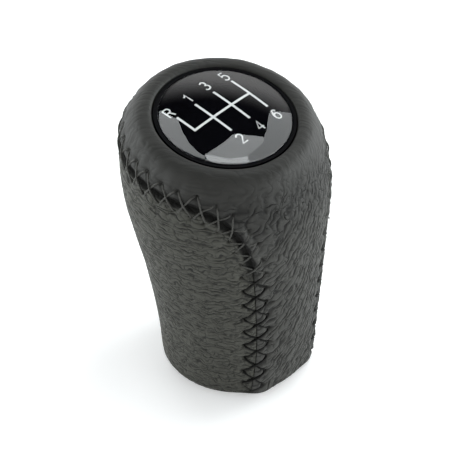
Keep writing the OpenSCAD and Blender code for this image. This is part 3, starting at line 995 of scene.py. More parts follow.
@dataclass(frozen=True)
class SeamRelief:
    """What the seam and its lacing do to the leather beside them, in millimetres.

    A name with _w is a width across the seam. One with _even is the share of a height that is there between
    the holes too. One with _up is what changes where the seam runs up beside the tongue. Those with shade or
    line belong to the painted shade along the seam, darker colour in its valley and under the strands.
    """

    seam: SeamLine
    lace: LaceLayout
    side: Side
    upright_to: float = 36.0
    turned_from: float = 44.0
    edge_r: float = 0.65
    edge_up: float = 0.8
    lobe: float = 0.26
    lobe_off: float = 1.3
    lobe_w: float = 0.75
    lobe_even: float = 0.35
    sink: float = 0.22
    sink_w: float = 0.8
    sink_even: float = 0.45
    hole_d: float = 0.6
    hole_along: float = 0.42
    hole_w: float = 0.5
    press: float = 0.2
    press_up: float = 0.3
    press_w: float = 0.42
    press_slim_up: float = 0.1
    strand_slope: float = 0.62
    pit: float = 0.42
    pit_w: float = 0.85
    pit_up: float = 0.7
    band: float = 0.45
    band_from: float = 0.3
    band_to: float = 1.9
    pucker: float = 0.13
    pucker_fade: float = 2.6
    pucker_from: float = -0.8
    pucker_to: float = 0.6
    proud: float = 0.06
    proud_w: float = 3.0
    fold: float = 0.34
    fold_from: float = 41.0
    fold_to: float = 54.0
    fold_end: float = 4.0
    fold_off: float = 0.5
    fold_w: float = 1.4
    shade_wrap: tuple = (0.7, 1.9)
    shade_hood: tuple = (0.25, 0.8)
    shade_at_hole: float = 0.4
    line_rising_w: float = 0.42
    line_falling_w: float = 0.28
    line_falling: float = 0.75
    line_fade: float = 0.4
    line_fade_from: float = 1.0
    line_fade_to: float = 2.2
    line_past: float = 0.2
    line_dark: float = 0.95

    def beside(self, points: np.ndarray) -> tuple[np.ndarray, np.ndarray, np.ndarray]:
        """Where points lie from the seam.

        Args:
            points: points of the plain form.

        Returns:
            Distances from the seam's edge, distances along the seam and ways to its middle.
        """
        _, _, course, length = self.seam.course()
        tree = KDTree(len(course))
        for i, p in enumerate(course):
            tree.insert(p, i)
        tree.balance()
        away = np.empty(len(points))
        along = np.empty(len(points))
        way = np.empty((len(points), 3))
        for i, p in enumerate(points):
            spot, near, far = tree.find((abs(p[0]), p[1], p[2]))
            away[i] = far
            along[i] = length[near]
            way[i] = (math.copysign(spot[0], p[0]) - p[0], spot[1] - p[1], spot[2] - p[2])
        return np.maximum(0, away - self.seam.gap / 2), along, way

    def upright(self, s: np.ndarray) -> np.ndarray:
        """1 where the seam runs up beside the tongue, 0 past its turn."""
        return 1 - ramp(self.upright_to, self.turned_from, s)

    def at_hole(self, s: np.ndarray) -> np.ndarray:
        """1 beside a hole, 0 midway between two."""
        return np.square(np.cos(math.pi * self.lace.phase(s)))

    def strand_line(self, w: np.ndarray, s: np.ndarray) -> np.ndarray:
        """Distance from the nearer strand of the lacing."""
        strand = self.lace.reach_at(s) * np.abs(1 - 2 * self.lace.phase(s))
        return np.abs(w - strand) * self.strand_slope

    def painted_seam_shade(self, w: np.ndarray, s: np.ndarray) -> np.ndarray:
        """Painted shade along the seam: wide under the level lacing, in lines under the strands beside the
        tongue.

        Args:
            w: distances from the panel's edge.
            s: distances along the seam.

        Returns:
            Shares from 0 to 1.
        """
        up, phase, reach = self.upright(s), self.lace.phase(s), self.lace.reach_at(s)
        near, far = self.shade_wrap if self.side is Side.WRAP else self.shade_hood
        wide = 1 - ramp(near, far, w - self.shade_at_hole * self.at_hole(s))
        rising = phase > 0.5 if self.side is Side.HOOD else phase < 0.5
        width = np.where(rising, self.line_rising_w, self.line_falling_w)
        faint = self.line_falling - self.line_fade * ramp(self.line_fade_from, self.line_fade_to, w)
        lines = bell(self.strand_line(w, s), width) * np.where(rising, 1, faint)
        lines = lines * (w < reach + self.line_past)
        return np.maximum(wide * (1 - up), up * self.line_dark * lines)

    def height(self, w: np.ndarray, s: np.ndarray) -> np.ndarray:
        """Height that the seam and its lacing give.

        Args:
            w: distances from the panel's edge.
            s: distances along the seam.

        Returns:
            Heights over the plain form.
        """
        lace = self.lace
        phase, reach, up, at_hole = lace.phase(s), lace.reach_at(s), self.upright(s), self.at_hole(s)
        along, past = np.minimum(phase, 1 - phase) * lace.pitch, w - reach
        fall = np.maximum(0, self.edge_r - w)
        lobe = self.lobe * (self.lobe_even + (1 - self.lobe_even) * at_hole)
        sink = self.sink * (self.sink_even + (1 - self.sink_even) * at_hole)
        h = -(self.edge_r - np.sqrt(np.maximum(0, self.edge_r**2 - fall**2))) * (1 - self.edge_up * up)
        h = h + lobe * bell(w - self.lobe_off, self.lobe_w) - sink * bell(past, self.sink_w)
        h = h - self.hole_d * bell(along, self.hole_along) * bell(past, self.hole_w)
        pressed = bell(self.strand_line(w, s), self.press_w - self.press_slim_up * up) * (w < reach)
        h = h - (self.press + self.press_up * up) * pressed
        h = h - self.pit * at_hole * bell(w, self.pit_w) * (1 - self.pit_up * up)
        if self.side is Side.WRAP:
            h = h - self.band * (1 - up) * (1 - ramp(self.band_from, self.band_to, w))
        fade = np.exp(-np.maximum(0, past) / self.pucker_fade) * ramp(self.pucker_from, self.pucker_to, past)
        h = h - self.pucker * np.cos(2 * math.pi * phase) * fade
        folded = ramp(self.fold_from, self.fold_from + self.fold_end, s)
        folded = folded * (1 - ramp(self.fold_to, self.fold_to + self.fold_end, s))
        lift = self.proud * bell(w, self.proud_w) + self.fold * folded * bell(w - self.fold_off, self.fold_w)
        return h + self.side.value * lift


@dataclass(frozen=True)
class LeatherRelief:
    """All relief of one panel over its plain form, in millimetres, and the numbers for its material."""

    form: BodyForm
    edge: SeamRelief
    grain: GrainScale
    hood_salt: int = 37
    wrap_salt: int = 11
    tongue_turn: float = 58.0
    tongue_along_y: float = 0.3
    tongue_over_y: float = -0.5
    mean_r: float = 22.0
    drift: float = 0.3
    drift_l: float = 5.0
    crest_smooth: float = 0.78
    crest_from: float = 58.0
    crest_to: float = 67.0
    tone_l: float = 6.0
    tone_tall: float = 2.4
    tone_spread: float = 0.7
    swell_h: float = 0.08
    swell_l: float = 11.0
    swell_salt: int = 5
    swell_from: float = 1.0
    swell_to: float = 6.0
    grain_from: float = 0.2
    grain_to: float = 1.2
    foot_z: float = 3.0
    hem_z: float = 1.2
    # Painted shade on the hood's top, where less light falls than on its sides, and in the seam band.
    painted_top_shade: float = 0.48
    top_from: float = 44.0
    top_to: float = 61.0
    painted_band_shade: float = 0.35

    def grain_height(self, deg: np.ndarray, v: np.ndarray, points: np.ndarray) -> tuple[np.ndarray, dict]:
        """Height and look of the grain.

        Args:
            deg: angles of the points.
            v: places along the section.
            points: the points themselves.

        Returns:
            Heights, and numbers for the material by name.
        """
        x, y, z = points.T
        if self.edge.side is Side.HOOD:
            turn, salt = math.radians(self.tongue_turn), self.hood_salt
            along = x * math.cos(turn) + z * math.sin(turn) + self.tongue_along_y * y
            over = z * math.cos(turn) - x * math.sin(turn) + self.tongue_over_y * y
            grained = 1 - self.crest_smooth * ramp(self.crest_from, self.crest_to, z)
        else:
            along, over, salt = math.radians(1) * self.mean_r * deg, v, self.wrap_salt
            grained = np.ones_like(z)
        grain = self.grain
        look = grain.creases(along, over + self.drift * swell(points, self.drift_l, salt), salt)
        for share in ("run_share", "link_share"):
            look[share] = look[share] * grained
        run = valley(look["run"], grain.valley) * look["run_share"]
        link = valley(look["link"], grain.valley * grain.pitch / grain.link) * look["link_share"]
        tone = waves(along / self.tone_l, over / self.tone_tall, salt + 7)
        look["tone"] = np.clip(0.5 + self.tone_spread * tone, 0, 1)
        return -grain.relief * np.maximum(run, link), look

    def apply(self, deg: np.ndarray, v: np.ndarray) -> tuple[np.ndarray, dict, np.ndarray, np.ndarray]:
        """Places the panel's points with all their relief.

        Args:
            deg: angles of the points.
            v: places along the section.

        Returns:
            Points, numbers for the material, distances from the seam's edge and ways to its middle.
        """
        form = self.form
        plain, out = form.skin(deg, v), form.out(deg, v)
        z = plain[:, 2]
        w, s, way = self.edge.beside(plain)
        grain, look = self.grain_height(deg, v, plain)
        foot = ramp(0.0, self.foot_z, z)
        tucked = 1 - ramp(form.v_crest, form.v_crest + form.crest_l, v)
        slow = self.swell_h * swell(plain, self.swell_l, self.swell_salt) * tucked
        h = (self.edge.height(w, s) + slow * ramp(self.swell_from, self.swell_to, w)) * foot
        h = h + grain * tucked * ramp(self.grain_from, self.grain_to, w) * ramp(0.0, self.hem_z, z)
        # Painted shade along the seam, and on the hood's top where less light falls; the shade value darkens
        # the colour.
        look["crease"] = self.edge.painted_seam_shade(w, s)
        shaded_top = ramp(self.top_from, self.top_to, z) if self.edge.side is Side.HOOD else np.zeros_like(z)
        look["shade"] = (1 - self.painted_top_shade * shaded_top) * (1 - self.painted_band_shade * look["crease"])
        return plain + out * h[:, None], look, w, way


@dataclass
class LeatherPanel:
    """Shared making of the two leather panels, with lengths in millimetres."""

    form: BodyForm
    seam: SeamLine
    relief: LeatherRelief
    finish: LeatherFinish
    name: str = "panel"
    node: str = ""
    slot: str = ""
    every: int = 8
    row: float = 0.27
    turn_l: float = 26.0
    hem_rows: int = 6
    roll_rows: int = 14
    edge_columns: int = 9
    edge_soft: float = 0.12
    at_seam: float = 0.05

    def low_rows(self, off: float) -> np.ndarray:
        """Rows from the hem to the seam, close together where the seam turns.

        Args:
            off: how far the panel's edge is moved towards the front.

        Returns:
            Places along the section.
        """
        form, seam = self.form, self.seam
        bend = np.radians(np.linspace(0, 90, int(self.turn_l / self.row)))[1:]
        return np.concatenate(
            [
                np.linspace(form.v_hem, -form.roll_l, self.hem_rows)[:-1],
                np.linspace(-form.roll_l, 0, self.roll_rows)[:-1],
                np.arange(0, seam.turn_z - form.edge_roll, self.row),
                form.v_at(seam.turn_z + (seam.top_z - off - seam.turn_z) * np.sin(bend)),
            ]
        )

    def across(self, count: int, edge: float) -> np.ndarray:
        """Columns across a panel, closer together along its two sides.

        Args:
            count: how many columns lie between the two sides' own.
            edge: width of each side as a share of the panel.

        Returns:
            Shares of the way across.
        """
        near = np.linspace(0, edge, self.edge_columns)
        middle = edge + (1 - 2 * edge) * np.linspace(0, 1, count)
        return np.concatenate([near[:-1], middle, 1 - near[::-1][1:]])

    def grid(self) -> PanelMesh:
        """The panel's points, cells and edges."""
        raise NotImplementedError

    def lining(
        self, grid: PanelMesh, deg: np.ndarray, v: np.ndarray, to_seam: np.ndarray
    ) -> tuple[list, list]:
        """Turned edges and inside of the leather.

        Args:
            grid: the panel's points, cells and edges.
            deg: angles of the points.
            v: places along the section.
            to_seam: ways to the seam's middle at the points beside it, 0 elsewhere.

        Returns:
            Arrays of added points, and the added faces.
        """
        form, count = self.form, len(deg)
        points, faces, inner_of = [], [], {}
        for loop in grid.loops:
            before = loop
            for depth in (form.leather_t - self.edge_soft, form.leather_t):
                ids = np.arange(count, count + len(loop))
                count += len(loop)
                points.append(form.skin(deg[loop], v[loop], depth) + to_seam[loop])
                faces += np.stack([before, ids, np.roll(ids, -1), np.roll(before, -1)], axis=-1).tolist()
                before = ids
            inner_of.update(zip(loop.tolist(), before.tolist()))
        used = {i for cell in grid.coarse for i in cell}
        inside = sorted(used - set(inner_of))
        inner_of.update({i: count + k for k, i in enumerate(inside)})
        points.append(form.skin(deg[inside], v[inside], form.leather_t))
        faces += [[inner_of[i] for i in reversed(cell)] for cell in grid.coarse]
        for loop in grid.loops:
            faces += self.fillers(loop.tolist(), used, inner_of)
        return points, faces

    @staticmethod
    def fillers(loop: list, used: set, inner_of: dict) -> list:
        """Slim faces between the fine edge and the coarse inside.

        Args:
            loop: point numbers along an edge of the panel.
            used: point numbers that the coarse cells use.
            inner_of: numbers of the inner points by those of the outer ones.

        Returns:
            The faces.
        """
        faces = []
        marks = [k for k, i in enumerate(loop) if i in used]
        for a, b in zip(marks, marks[1:] + [marks[0] + len(loop)]):
            run = [inner_of[loop[k % len(loop)]] for k in range(a, b + 1)]
            if len(run) > 2:
                faces.append(run)
        return faces

    def build(self) -> bpy.types.Object:
        """Makes the panel as a closed skin of leather and dresses it.

        Returns:
            The panel.
        """
        grid = self.grid()
        deg, v = np.concatenate(grid.deg), np.concatenate(grid.v)
        outer, look, w, way = self.relief.apply(deg, v)
        inner, faces = self.lining(grid, deg, v, way * (w < self.at_seam)[:, None])
        added = sum(len(points) for points in inner)
        # The turned edges and the inside take full painted shade.
        plain = {key: float(key in ("crease", "shade")) for key in look}
        values = {
            key: np.concatenate([numbers, np.full(added, plain[key])]) for key, numbers in look.items()
        }
        piece = add_mesh(self.name, np.concatenate([outer, *inner]), grid.cells + faces, values)
        dress(piece, self.finish.build())
        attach(piece, BODY)
        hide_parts(self.node)
        LOG.info("%s: %d points, %d faces", self.name, len(piece.data.vertices), len(piece.data.polygons))
        return piece


@dataclass
class LeatherWrap(LeatherPanel):
    """The large panel round the sides and the front."""

    name: str = "wrap_panel"
    node: str = "leather_wrap"
    slot: str = "wrap_leather"
    columns: int = 300
    edge: float = 0.012

    def grid(self) -> PanelMesh:
        """Rows from the hem up to the level seam, columns from one side of the tongue to the other.

        Returns:
            The panel's points, cells and edges.
        """
        made, off = PanelMesh(), self.seam.gap / 2
        v = self.low_rows(off)[:, None]
        _, z = self.form.section(v)
        side = self.seam.deg_at(z, off)
        share = self.across(self.columns, self.edge)[None, :]
        ids = made.add(side + (360 - 2 * side) * share, v)
        made.weave(ids, self.every)
        made.loops.append(np.concatenate([ids[0, :-1], ids[:-1, -1], ids[-1, :0:-1], ids[:0:-1, 0]]))
        return made


@dataclass
class LeatherHood(LeatherPanel):
    """The panel round the badge with its tongue down the driver side."""

    name: str = "hood_panel"
    node: str = "leather_hood"
    slot: str = "hood_leather"
    columns: int = 110
    edge: float = 0.03
    front_columns: int = 240
    seam_rows: int = 8
    seam_row: float = 0.12
    shoulder_from: float = 1.0
    shoulder_rows: int = 48
    crest_rows: int = 12
    tuck_rows: int = 8

    def rings(self, v_seam: float) -> np.ndarray:
        """Rings from the seam over the crest and in beside the badge.

        Args:
            v_seam: place of the level seam along the section.

        Returns:
            Places along the section.
        """
        form = self.form
        v_inner = form.v_crest + form.crest_l
        return np.concatenate(
            [
                v_seam + self.seam_row * np.arange(1, self.seam_rows + 1),
                np.linspace(v_seam + self.shoulder_from, form.v_crest, self.shoulder_rows)[1:],
                np.linspace(form.v_crest, v_inner, self.crest_rows)[1:],
                np.linspace(v_inner, form.v_tuck, self.tuck_rows)[1:],
            ]
        )

    def grid(self) -> PanelMesh:
        """The tongue's rows, then the rings round the badge.

        Returns:
            The panel's points, cells and edges.
        """
        made, seam, off = PanelMesh(), self.seam, -self.seam.gap / 2
        v = self.low_rows(off)[:, None]
        _, z = self.form.section(v)
        side = seam.deg_at(z, off)
        share = self.across(self.columns, self.edge)[None, :]
        tongue = made.add(-side + 2 * side * share, v)
        made.weave(tongue, self.every)
        v_seam = float(self.form.v_at(seam.top_z - off))
        front = np.linspace(seam.level_deg, 360 - seam.level_deg, self.front_columns)[1:-1]
        low = made.add(front, np.full(front.shape, v_seam))
        rings = self.rings(v_seam)[:, None]
        full = np.concatenate([-seam.level_deg + 2 * seam.level_deg * share[0], front])[None, :]
        upper = made.add(np.repeat(full, len(rings), axis=0), np.repeat(rings, full.shape[1], axis=1))
        ring = np.concatenate([np.concatenate([tongue[-1], low])[None, :], upper])
        made.weave(np.concatenate([ring, ring[:, :1]], axis=1), self.every)
        outline = [tongue[0, :-1], tongue[:-1, -1], ring[0, tongue.shape[1] - 1 :], tongue[:0:-1, 0]]
        made.loops.append(np.concatenate(outline))
        made.loops.append(ring[-1, ::-1])
        return made


# Lacing


@dataclass
class Lacing:
    """Crossed waxed thread over the seam, from hole to hole, in millimetres.

    Of two crossed strands one lies over the other. A name with _sunk is its height beside the tongue, where
    both lie in the leather.
    """

    form: BodyForm
    seam: SeamLine
    lace: LaceLayout
    edges: dict
    finish: ThreadFinish
    sides: int = 10
    rings: int = 30
    twist: float = 1.3
    core: float = 0.93
    ply: float = 0.09
    hole_in: float = 0.28
    over_h: float = 0.34
    under_h: float = -0.1
    over_sunk: float = -0.1
    under_sunk: float = -0.42
    bridge_w: float = 1.1
    droop: float = 0.25
    droop_from: float = 0.8
    droop_to: float = 2.2
    lift: float = 0.02
    sway: float = 0.5
    sway_cells: int = 7
    sway_salt: int = 5
    dip: float = 0.45
    dip_w: float = 2.0
    dip_from: float = 42.0
    dip_to: float = 54.0
    dip_end: float = 4.0
    dive: float = 0.8
    dive_l: float = 0.45
    slope_step: float = 0.5

    def beside(self, s: np.ndarray, w: np.ndarray) -> tuple[np.ndarray, np.ndarray]:
        """Places on the body beside the seam.

        Args:
            s: distances along the seam.
            w: distances from it, above 0 on the hood's side.

        Returns:
            Angles and places along the section.
        """
        deg, v, _, length = self.seam.course()
        s_deg, s_v = np.interp(s, length, deg), np.interp(s, length, v)
        r, _ = self.form.section(s_v)
        one_deg = math.radians(1) * r
        before, after = s - self.slope_step, s + self.slope_step
        run_deg = (np.interp(after, length, deg) - np.interp(before, length, deg)) * one_deg
        run_v = np.interp(after, length, v) - np.interp(before, length, v)
        size = np.hypot(run_deg, run_v)
        return s_deg - w * run_v / size / one_deg, s_v + w * run_deg / size

    def height(self, s: np.ndarray, w: np.ndarray, way: int) -> np.ndarray:
        """Height of a strand's centre line over the plain form.

        Args:
            s: distances along the seam.
            w: distances from it, above 0 on the hood's side.
            way: 1 where the strand starts on the hood's side, -1 on the wrap's side.

        Returns:
            The heights.
        """
        reach = np.abs(w)
        away = np.maximum(0, reach - self.seam.gap / 2)
        hood, wrap = self.edges[Side.HOOD], self.edges[Side.WRAP]
        rest = np.where(w > 0, hood.height(away, s), wrap.height(away, s)) + self.lift
        level, low = (self.over_h, self.over_sunk) if way < 0 else (self.under_h, self.under_sunk)
        crown = level + (low - level) * hood.upright(s)
        droop = self.droop * ramp(self.droop_from, self.droop_to, reach)
        bridge = crown * bell(reach, self.bridge_w) - droop
        dipped = ramp(self.dip_from, self.dip_from + self.dip_end, s)
        dipped = dipped * (1 - ramp(self.dip_to, self.dip_to + self.dip_end, s))
        h = np.maximum(rest, bridge) - self.dip * dipped * bell(reach, self.dip_w)
        return h - self.dive * ramp(-self.dive_l, 0.0, reach - self.lace.reach_at(s))

    def strand(self, a: float, b: float, way: int, mirror: int) -> tuple[np.ndarray, np.ndarray]:
        """Centre line of one strand.

        Args:
            a: place along the seam where it starts.
            b: place where it ends.
            way: 1 where it starts on the hood's side, -1 on the wrap's side.
            mirror: 1 for the +X half of the seam, -1 for the other.

        Returns:
            Its points and the directions out of the leather.
        """
        t = np.linspace(0, 1, self.rings)
        aside = scatter(np.array([a * self.sway_cells]), np.array([way + 2]), self.sway_salt) - 0.5
        s = a + (b - a) * t + self.sway * aside * np.sin(math.pi * t)
        w = self.lace.reach_at(s) * (1 - 2 * t) * way
        deg, v = self.beside(s, w)
        out = self.form.out(deg, v)
        line = self.form.skin(deg, v) + out * self.height(s, w, way)[:, None]
        flip = np.array([mirror, 1, 1])
        return line * flip, out * flip

    def tube_faces(self, start: int, mirror: int) -> list:
        """Faces of one strand.

        Args:
            start: number of its first point.
            mirror: 1 for the +X half of the seam, -1 for the other.

        Returns:
            Its long faces and its two ends.
        """
        ids = start + np.arange(self.rings * self.sides).reshape(self.rings, self.sides)
        long = grid_faces(np.concatenate([ids, ids[:, :1]], axis=1))[:, ::mirror]
        return [*long.tolist(), ids[0].tolist()[::-mirror], ids[-1].tolist()[::mirror]]

    def build(self) -> bpy.types.Object:
        """Makes every strand as a twisted round thread and dresses them.

        Returns:
            All the strands as one piece.
        """
        length = self.seam.course()[-1]
        holes = self.lace.holes()[1:]
        count = int(np.searchsorted(holes, length[-1])) - 1
        points, faces, plies, sunk = [], [], [], []
        for mirror in (1, -1):
            for k in range(count):
                a, b = holes[k] + self.hole_in, holes[k + 1] - self.hole_in
                up = self.edges[Side.HOOD].upright(np.linspace(a, b, self.rings))
                for way in (1, -1):
                    tube, ply = self.tube(*self.strand(a, b, way, mirror))
                    faces += self.tube_faces(len(points) * len(tube), mirror)
                    points.append(tube)
                    plies.append(ply)
                    # Painted shade on the thread where it lies sunk beside the tongue.
                    sunk.append(np.repeat(up, self.sides))
        values = {"ply": np.concatenate(plies), "sunk": np.concatenate(sunk)}
        piece = add_mesh("lacing", np.concatenate(points), faces, values)
        dress(piece, self.finish.build())
        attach(piece, BODY)
        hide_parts("lacing_thread")
        LOG.info("lacing: %d crossings a side, %d points", count, len(piece.data.vertices))
        return piece

    def tube(self, line: np.ndarray, out: np.ndarray) -> tuple[np.ndarray, np.ndarray]:
        """Skin of a twisted thread.

        Args:
            line: points of its centre line.
            out: directions out of the leather.

        Returns:
            Points round the line, and how far each stands out on a ply.
        """
        run = np.gradient(line, axis=0)
        run /= np.linalg.norm(run, axis=1, keepdims=True)
        across = np.cross(run, out)
        across /= np.linalg.norm(across, axis=1, keepdims=True)
        up = np.cross(across, run)
        step = np.concatenate([[0], np.cumsum(np.linalg.norm(np.diff(line, axis=0), axis=1))])
        turn = np.linspace(0, 2 * math.pi, self.sides, endpoint=False)[None, :]
        ply = np.cos(2 * (turn - 2 * math.pi * step[:, None] / self.twist))
        r = self.lace.thread_r * (self.core + self.ply * ply)
        round_it = np.cos(turn)[..., None] * up[:, None, :] + np.sin(turn)[..., None] * across[:, None, :]
        skin = line[:, None, :] + r[..., None] * round_it
        return skin.reshape(-1, 3), (0.5 + 0.5 * ply).ravel()


# Badge


def arc(x: float, y: float, rx: float, ry: float, start: float, end: float, count: int = 14) -> list:
    """Points of an elliptic arc.

    Args:
        x: place of its centre across.
        y: place of its centre up.
        rx: its radius across.
        ry: its radius up.
        start: where it starts, in degrees from the right-hand side.
        end: where it ends, in the same degrees.
        count: how many points it has.

    Returns:
        The points, in order.
    """
    turns = [math.radians(start + (end - start) * k / (count - 1)) for k in range(count)]
    return [(x + rx * math.cos(a), y + ry * math.sin(a)) for a in turns]


# Strokes of each mark as points in a box 1 high and about 0.6 wide.
STROKES = {
    "R": [
        [(0.02, 0.0), (0.02, 1.0)],
        [(0.02, 1.0), (0.36, 1.0), *arc(0.36, 0.76, 0.22, 0.24, 90, -90), (0.02, 0.52)],
        [(0.34, 0.52), (0.60, 0.0)],
    ],
    "1": [[(0.36, 0.0), (0.36, 1.0), (0.32, 0.88), (0.22, 0.80), (0.08, 0.77)]],
    "2": [[*arc(0.29, 0.72, 0.25, 0.28, 165, -32), (0.02, 0.0), (0.58, 0.0)]],
    "3": [[*arc(0.27, 0.75, 0.21, 0.25, 150, -80), *arc(0.28, 0.27, 0.26, 0.27, 84, -155)]],
    "4": [[(0.44, 0.0), (0.44, 1.0), (0.02, 0.30), (0.60, 0.30)]],
    "5": [[(0.52, 1.0), (0.13, 1.0), (0.06, 0.52), *arc(0.28, 0.32, 0.27, 0.32, 128, -152)]],
    "6": [
        [
            *arc(0.31, 0.74, 0.23, 0.26, 20, 110),
            *arc(0.42, 0.42, 0.40, 0.50, 128, 185),
            *arc(0.29, 0.32, 0.26, 0.32, 185, 545, 26),
        ]
    ],
}

PLATE_FINISH = InkFinish("plate", (0.0022, 0.0022, 0.003), (0.0012, 0.0012, 0.0016), roughness=0.3)
PAD_FINISH = MouldedFinish(
    "pad", (0.8, 0.8, 0.78), (0.7, 0.7, 0.68), roughness=0.8, grain_mm=0.5, grain_depth_mm=0.03
)
HOLDER_FINISH = MouldedFinish(
    "holder_plastic",
    (0.003, 0.003, 0.0035),
    (0.002, 0.002, 0.0025),
    grain_mm=0.4,
    grain_depth_mm=0.01,
    specular=0.02,
)

# Finish and width of the rounded edges by node.
BADGE_FINISHES = {
    "badge_plate": (PLATE_FINISH, 0.0),
    "badge_holder": (HOLDER_FINISH, 0.12),
    "badge_pad": (PAD_FINISH, 0.0),
}


@dataclass
class Badge:
    """Clear domed badge with its printed shift pattern, in millimetres."""

    form: BodyForm
    nodes: dict
    crown_r: float = 16.0
    dome_r: float = 15.99
    dome_rise: float = 2.0
    dome_edge_t: float = 0.5
    dome_drop: float = 0.8
    sunk: float = 0.05
    edge_round: float = 0.14
    raised: float = 0.4
    ink_t: float = 0.02
    mark_h: float = 2.9
    mark_middle: tuple = (0.3, 0.5)
    stroke_r: float = 0.21
    stroke_steps: int = 3
    dome_turns: int = 160
    floor_steps: int = 4
    crown_steps: int = 36
    edge_steps: int = 7
    edge_turn_deg: float = 78.0
    marks: tuple = (
        ("R", -8.75, 9.75),
        ("1", -2.0, 10.0),
        ("3", 4.1, 10.2),
        ("5", 10.0, 9.6),
        ("2", -2.4, -7.4),
        ("4", 3.9, -7.35),
        ("6", 9.85, -7.25),
    )

    @property
    def plate_top(self) -> float:
        """Height of the plate's face below the crest plane."""
        return -self.dome_drop - self.dome_edge_t

    def dome(self) -> bpy.types.Object:
        """Makes the clear dome with a softly rounded edge.

        Returns:
            The dome.
        """
        ball = (self.crown_r**2 + self.dome_rise**2) / (2 * self.dome_rise)
        top = self.dome_rise - self.dome_drop + self.raised
        flat, soft = self.dome_r - self.edge_round, self.edge_round
        bottom = self.plate_top - self.sunk

        def crown(r: float) -> float:
            """Height of the crown at a radius."""
            return top - ball + math.sqrt(ball * ball - r * r)

        outline = [(self.dome_r * k / self.floor_steps, bottom) for k in range(self.floor_steps + 1)]
        for a in np.linspace(0, math.radians(self.edge_turn_deg), self.edge_steps):
            outline.append((flat + soft * math.cos(a), crown(flat) - soft + soft * math.sin(a)))
        outline += [(r, crown(r)) for r in np.linspace(flat, 0, self.crown_steps)]
        piece = lathe("badge_dome", outline, self.dome_turns)
        piece.data.transform(self.form.badge_frame())
        dress(piece, ResinFinish().build())
        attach(piece, BODY)
        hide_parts("clear_dome")
        return piece

    def figures(self, ink: bpy.types.Material) -> None:
        """Prints the numbers of the gears and the letter of reverse.

        Args:
            ink: material of the white print.
        """
        middle_x, middle_y = self.mark_middle
        for word, x, y in self.marks:
            curve = bpy.data.curves.new("mark", "CURVE")
            curve.dimensions = "3D"
            curve.bevel_depth = self.stroke_r
            curve.bevel_resolution = self.stroke_steps
            curve.use_fill_caps = True
            for stroke in STROKES[word]:
                line = curve.splines.new("POLY")
                line.points.add(len(stroke) - 1)
                for point, (u, w) in zip(line.points, stroke):
                    point.co = ((u - middle_x) * self.mark_h, (w - middle_y) * self.mark_h, 0, 1)
            holder = bpy.data.objects.new("mark", curve)
            bpy.context.scene.collection.objects.link(holder)
            bpy.context.view_layer.update()
            settled = holder.evaluated_get(bpy.context.evaluated_depsgraph_get())
            mesh = bpy.data.meshes.new_from_object(settled)
            bpy.data.objects.remove(holder)
            flat = Matrix.Diagonal((MM, MM, self.ink_t / self.stroke_r * MM, 1))
            place = Matrix.Translation((x * MM, y * MM, self.plate_top * MM))
            mesh.transform(self.form.badge_frame() @ place @ flat)
            piece = bpy.data.objects.new("mark_" + word, mesh)
            bpy.context.scene.collection.objects.link(piece)
            dress(piece, ink)
            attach(piece, BODY)
            LOG.info("mark %s", word)

    def build(self) -> None:
        """Makes and dresses the whole badge."""
        ink = InkFinish("pattern_white", (0.60, 0.61, 0.60), (0.54, 0.55, 0.54)).build()
        redress(self.nodes["pattern_lines"], ink)
        dress_nodes(self.nodes, BADGE_FINISHES)
        self.figures(ink)
        self.dome()
        LOG.info("badge: dome, plate, pattern and %d marks", len(self.marks))


# Core and base


FOAM_FINISH = MouldedFinish(
    "foam", (0.085, 0.085, 0.08), (0.06, 0.06, 0.057), roughness=0.85, grain_mm=0.6, grain_depth_mm=0.06
)
SPINE_FINISH = MouldedFinish("spine_plastic", (0.045, 0.047, 0.05), (0.035, 0.036, 0.04), roughness=0.45)
BUSH_FINISH = MouldedFinish("bush_rubber", (0.02, 0.02, 0.02), (0.014, 0.014, 0.014), roughness=0.7)
RING_FINISH = MouldedFinish("ring_plastic", (0.018, 0.018, 0.019), (0.013, 0.013, 0.014), roughness=0.42)

# Finish and width of the rounded edges by node.
CORE_FINISHES = {
    "foam_body": (FOAM_FINISH, 0.0),
    "spine": (SPINE_FINISH, 0.15),
    "shank_bush": (BUSH_FINISH, 0.2),
    "base_ring": (RING_FINISH, 0.2),
}


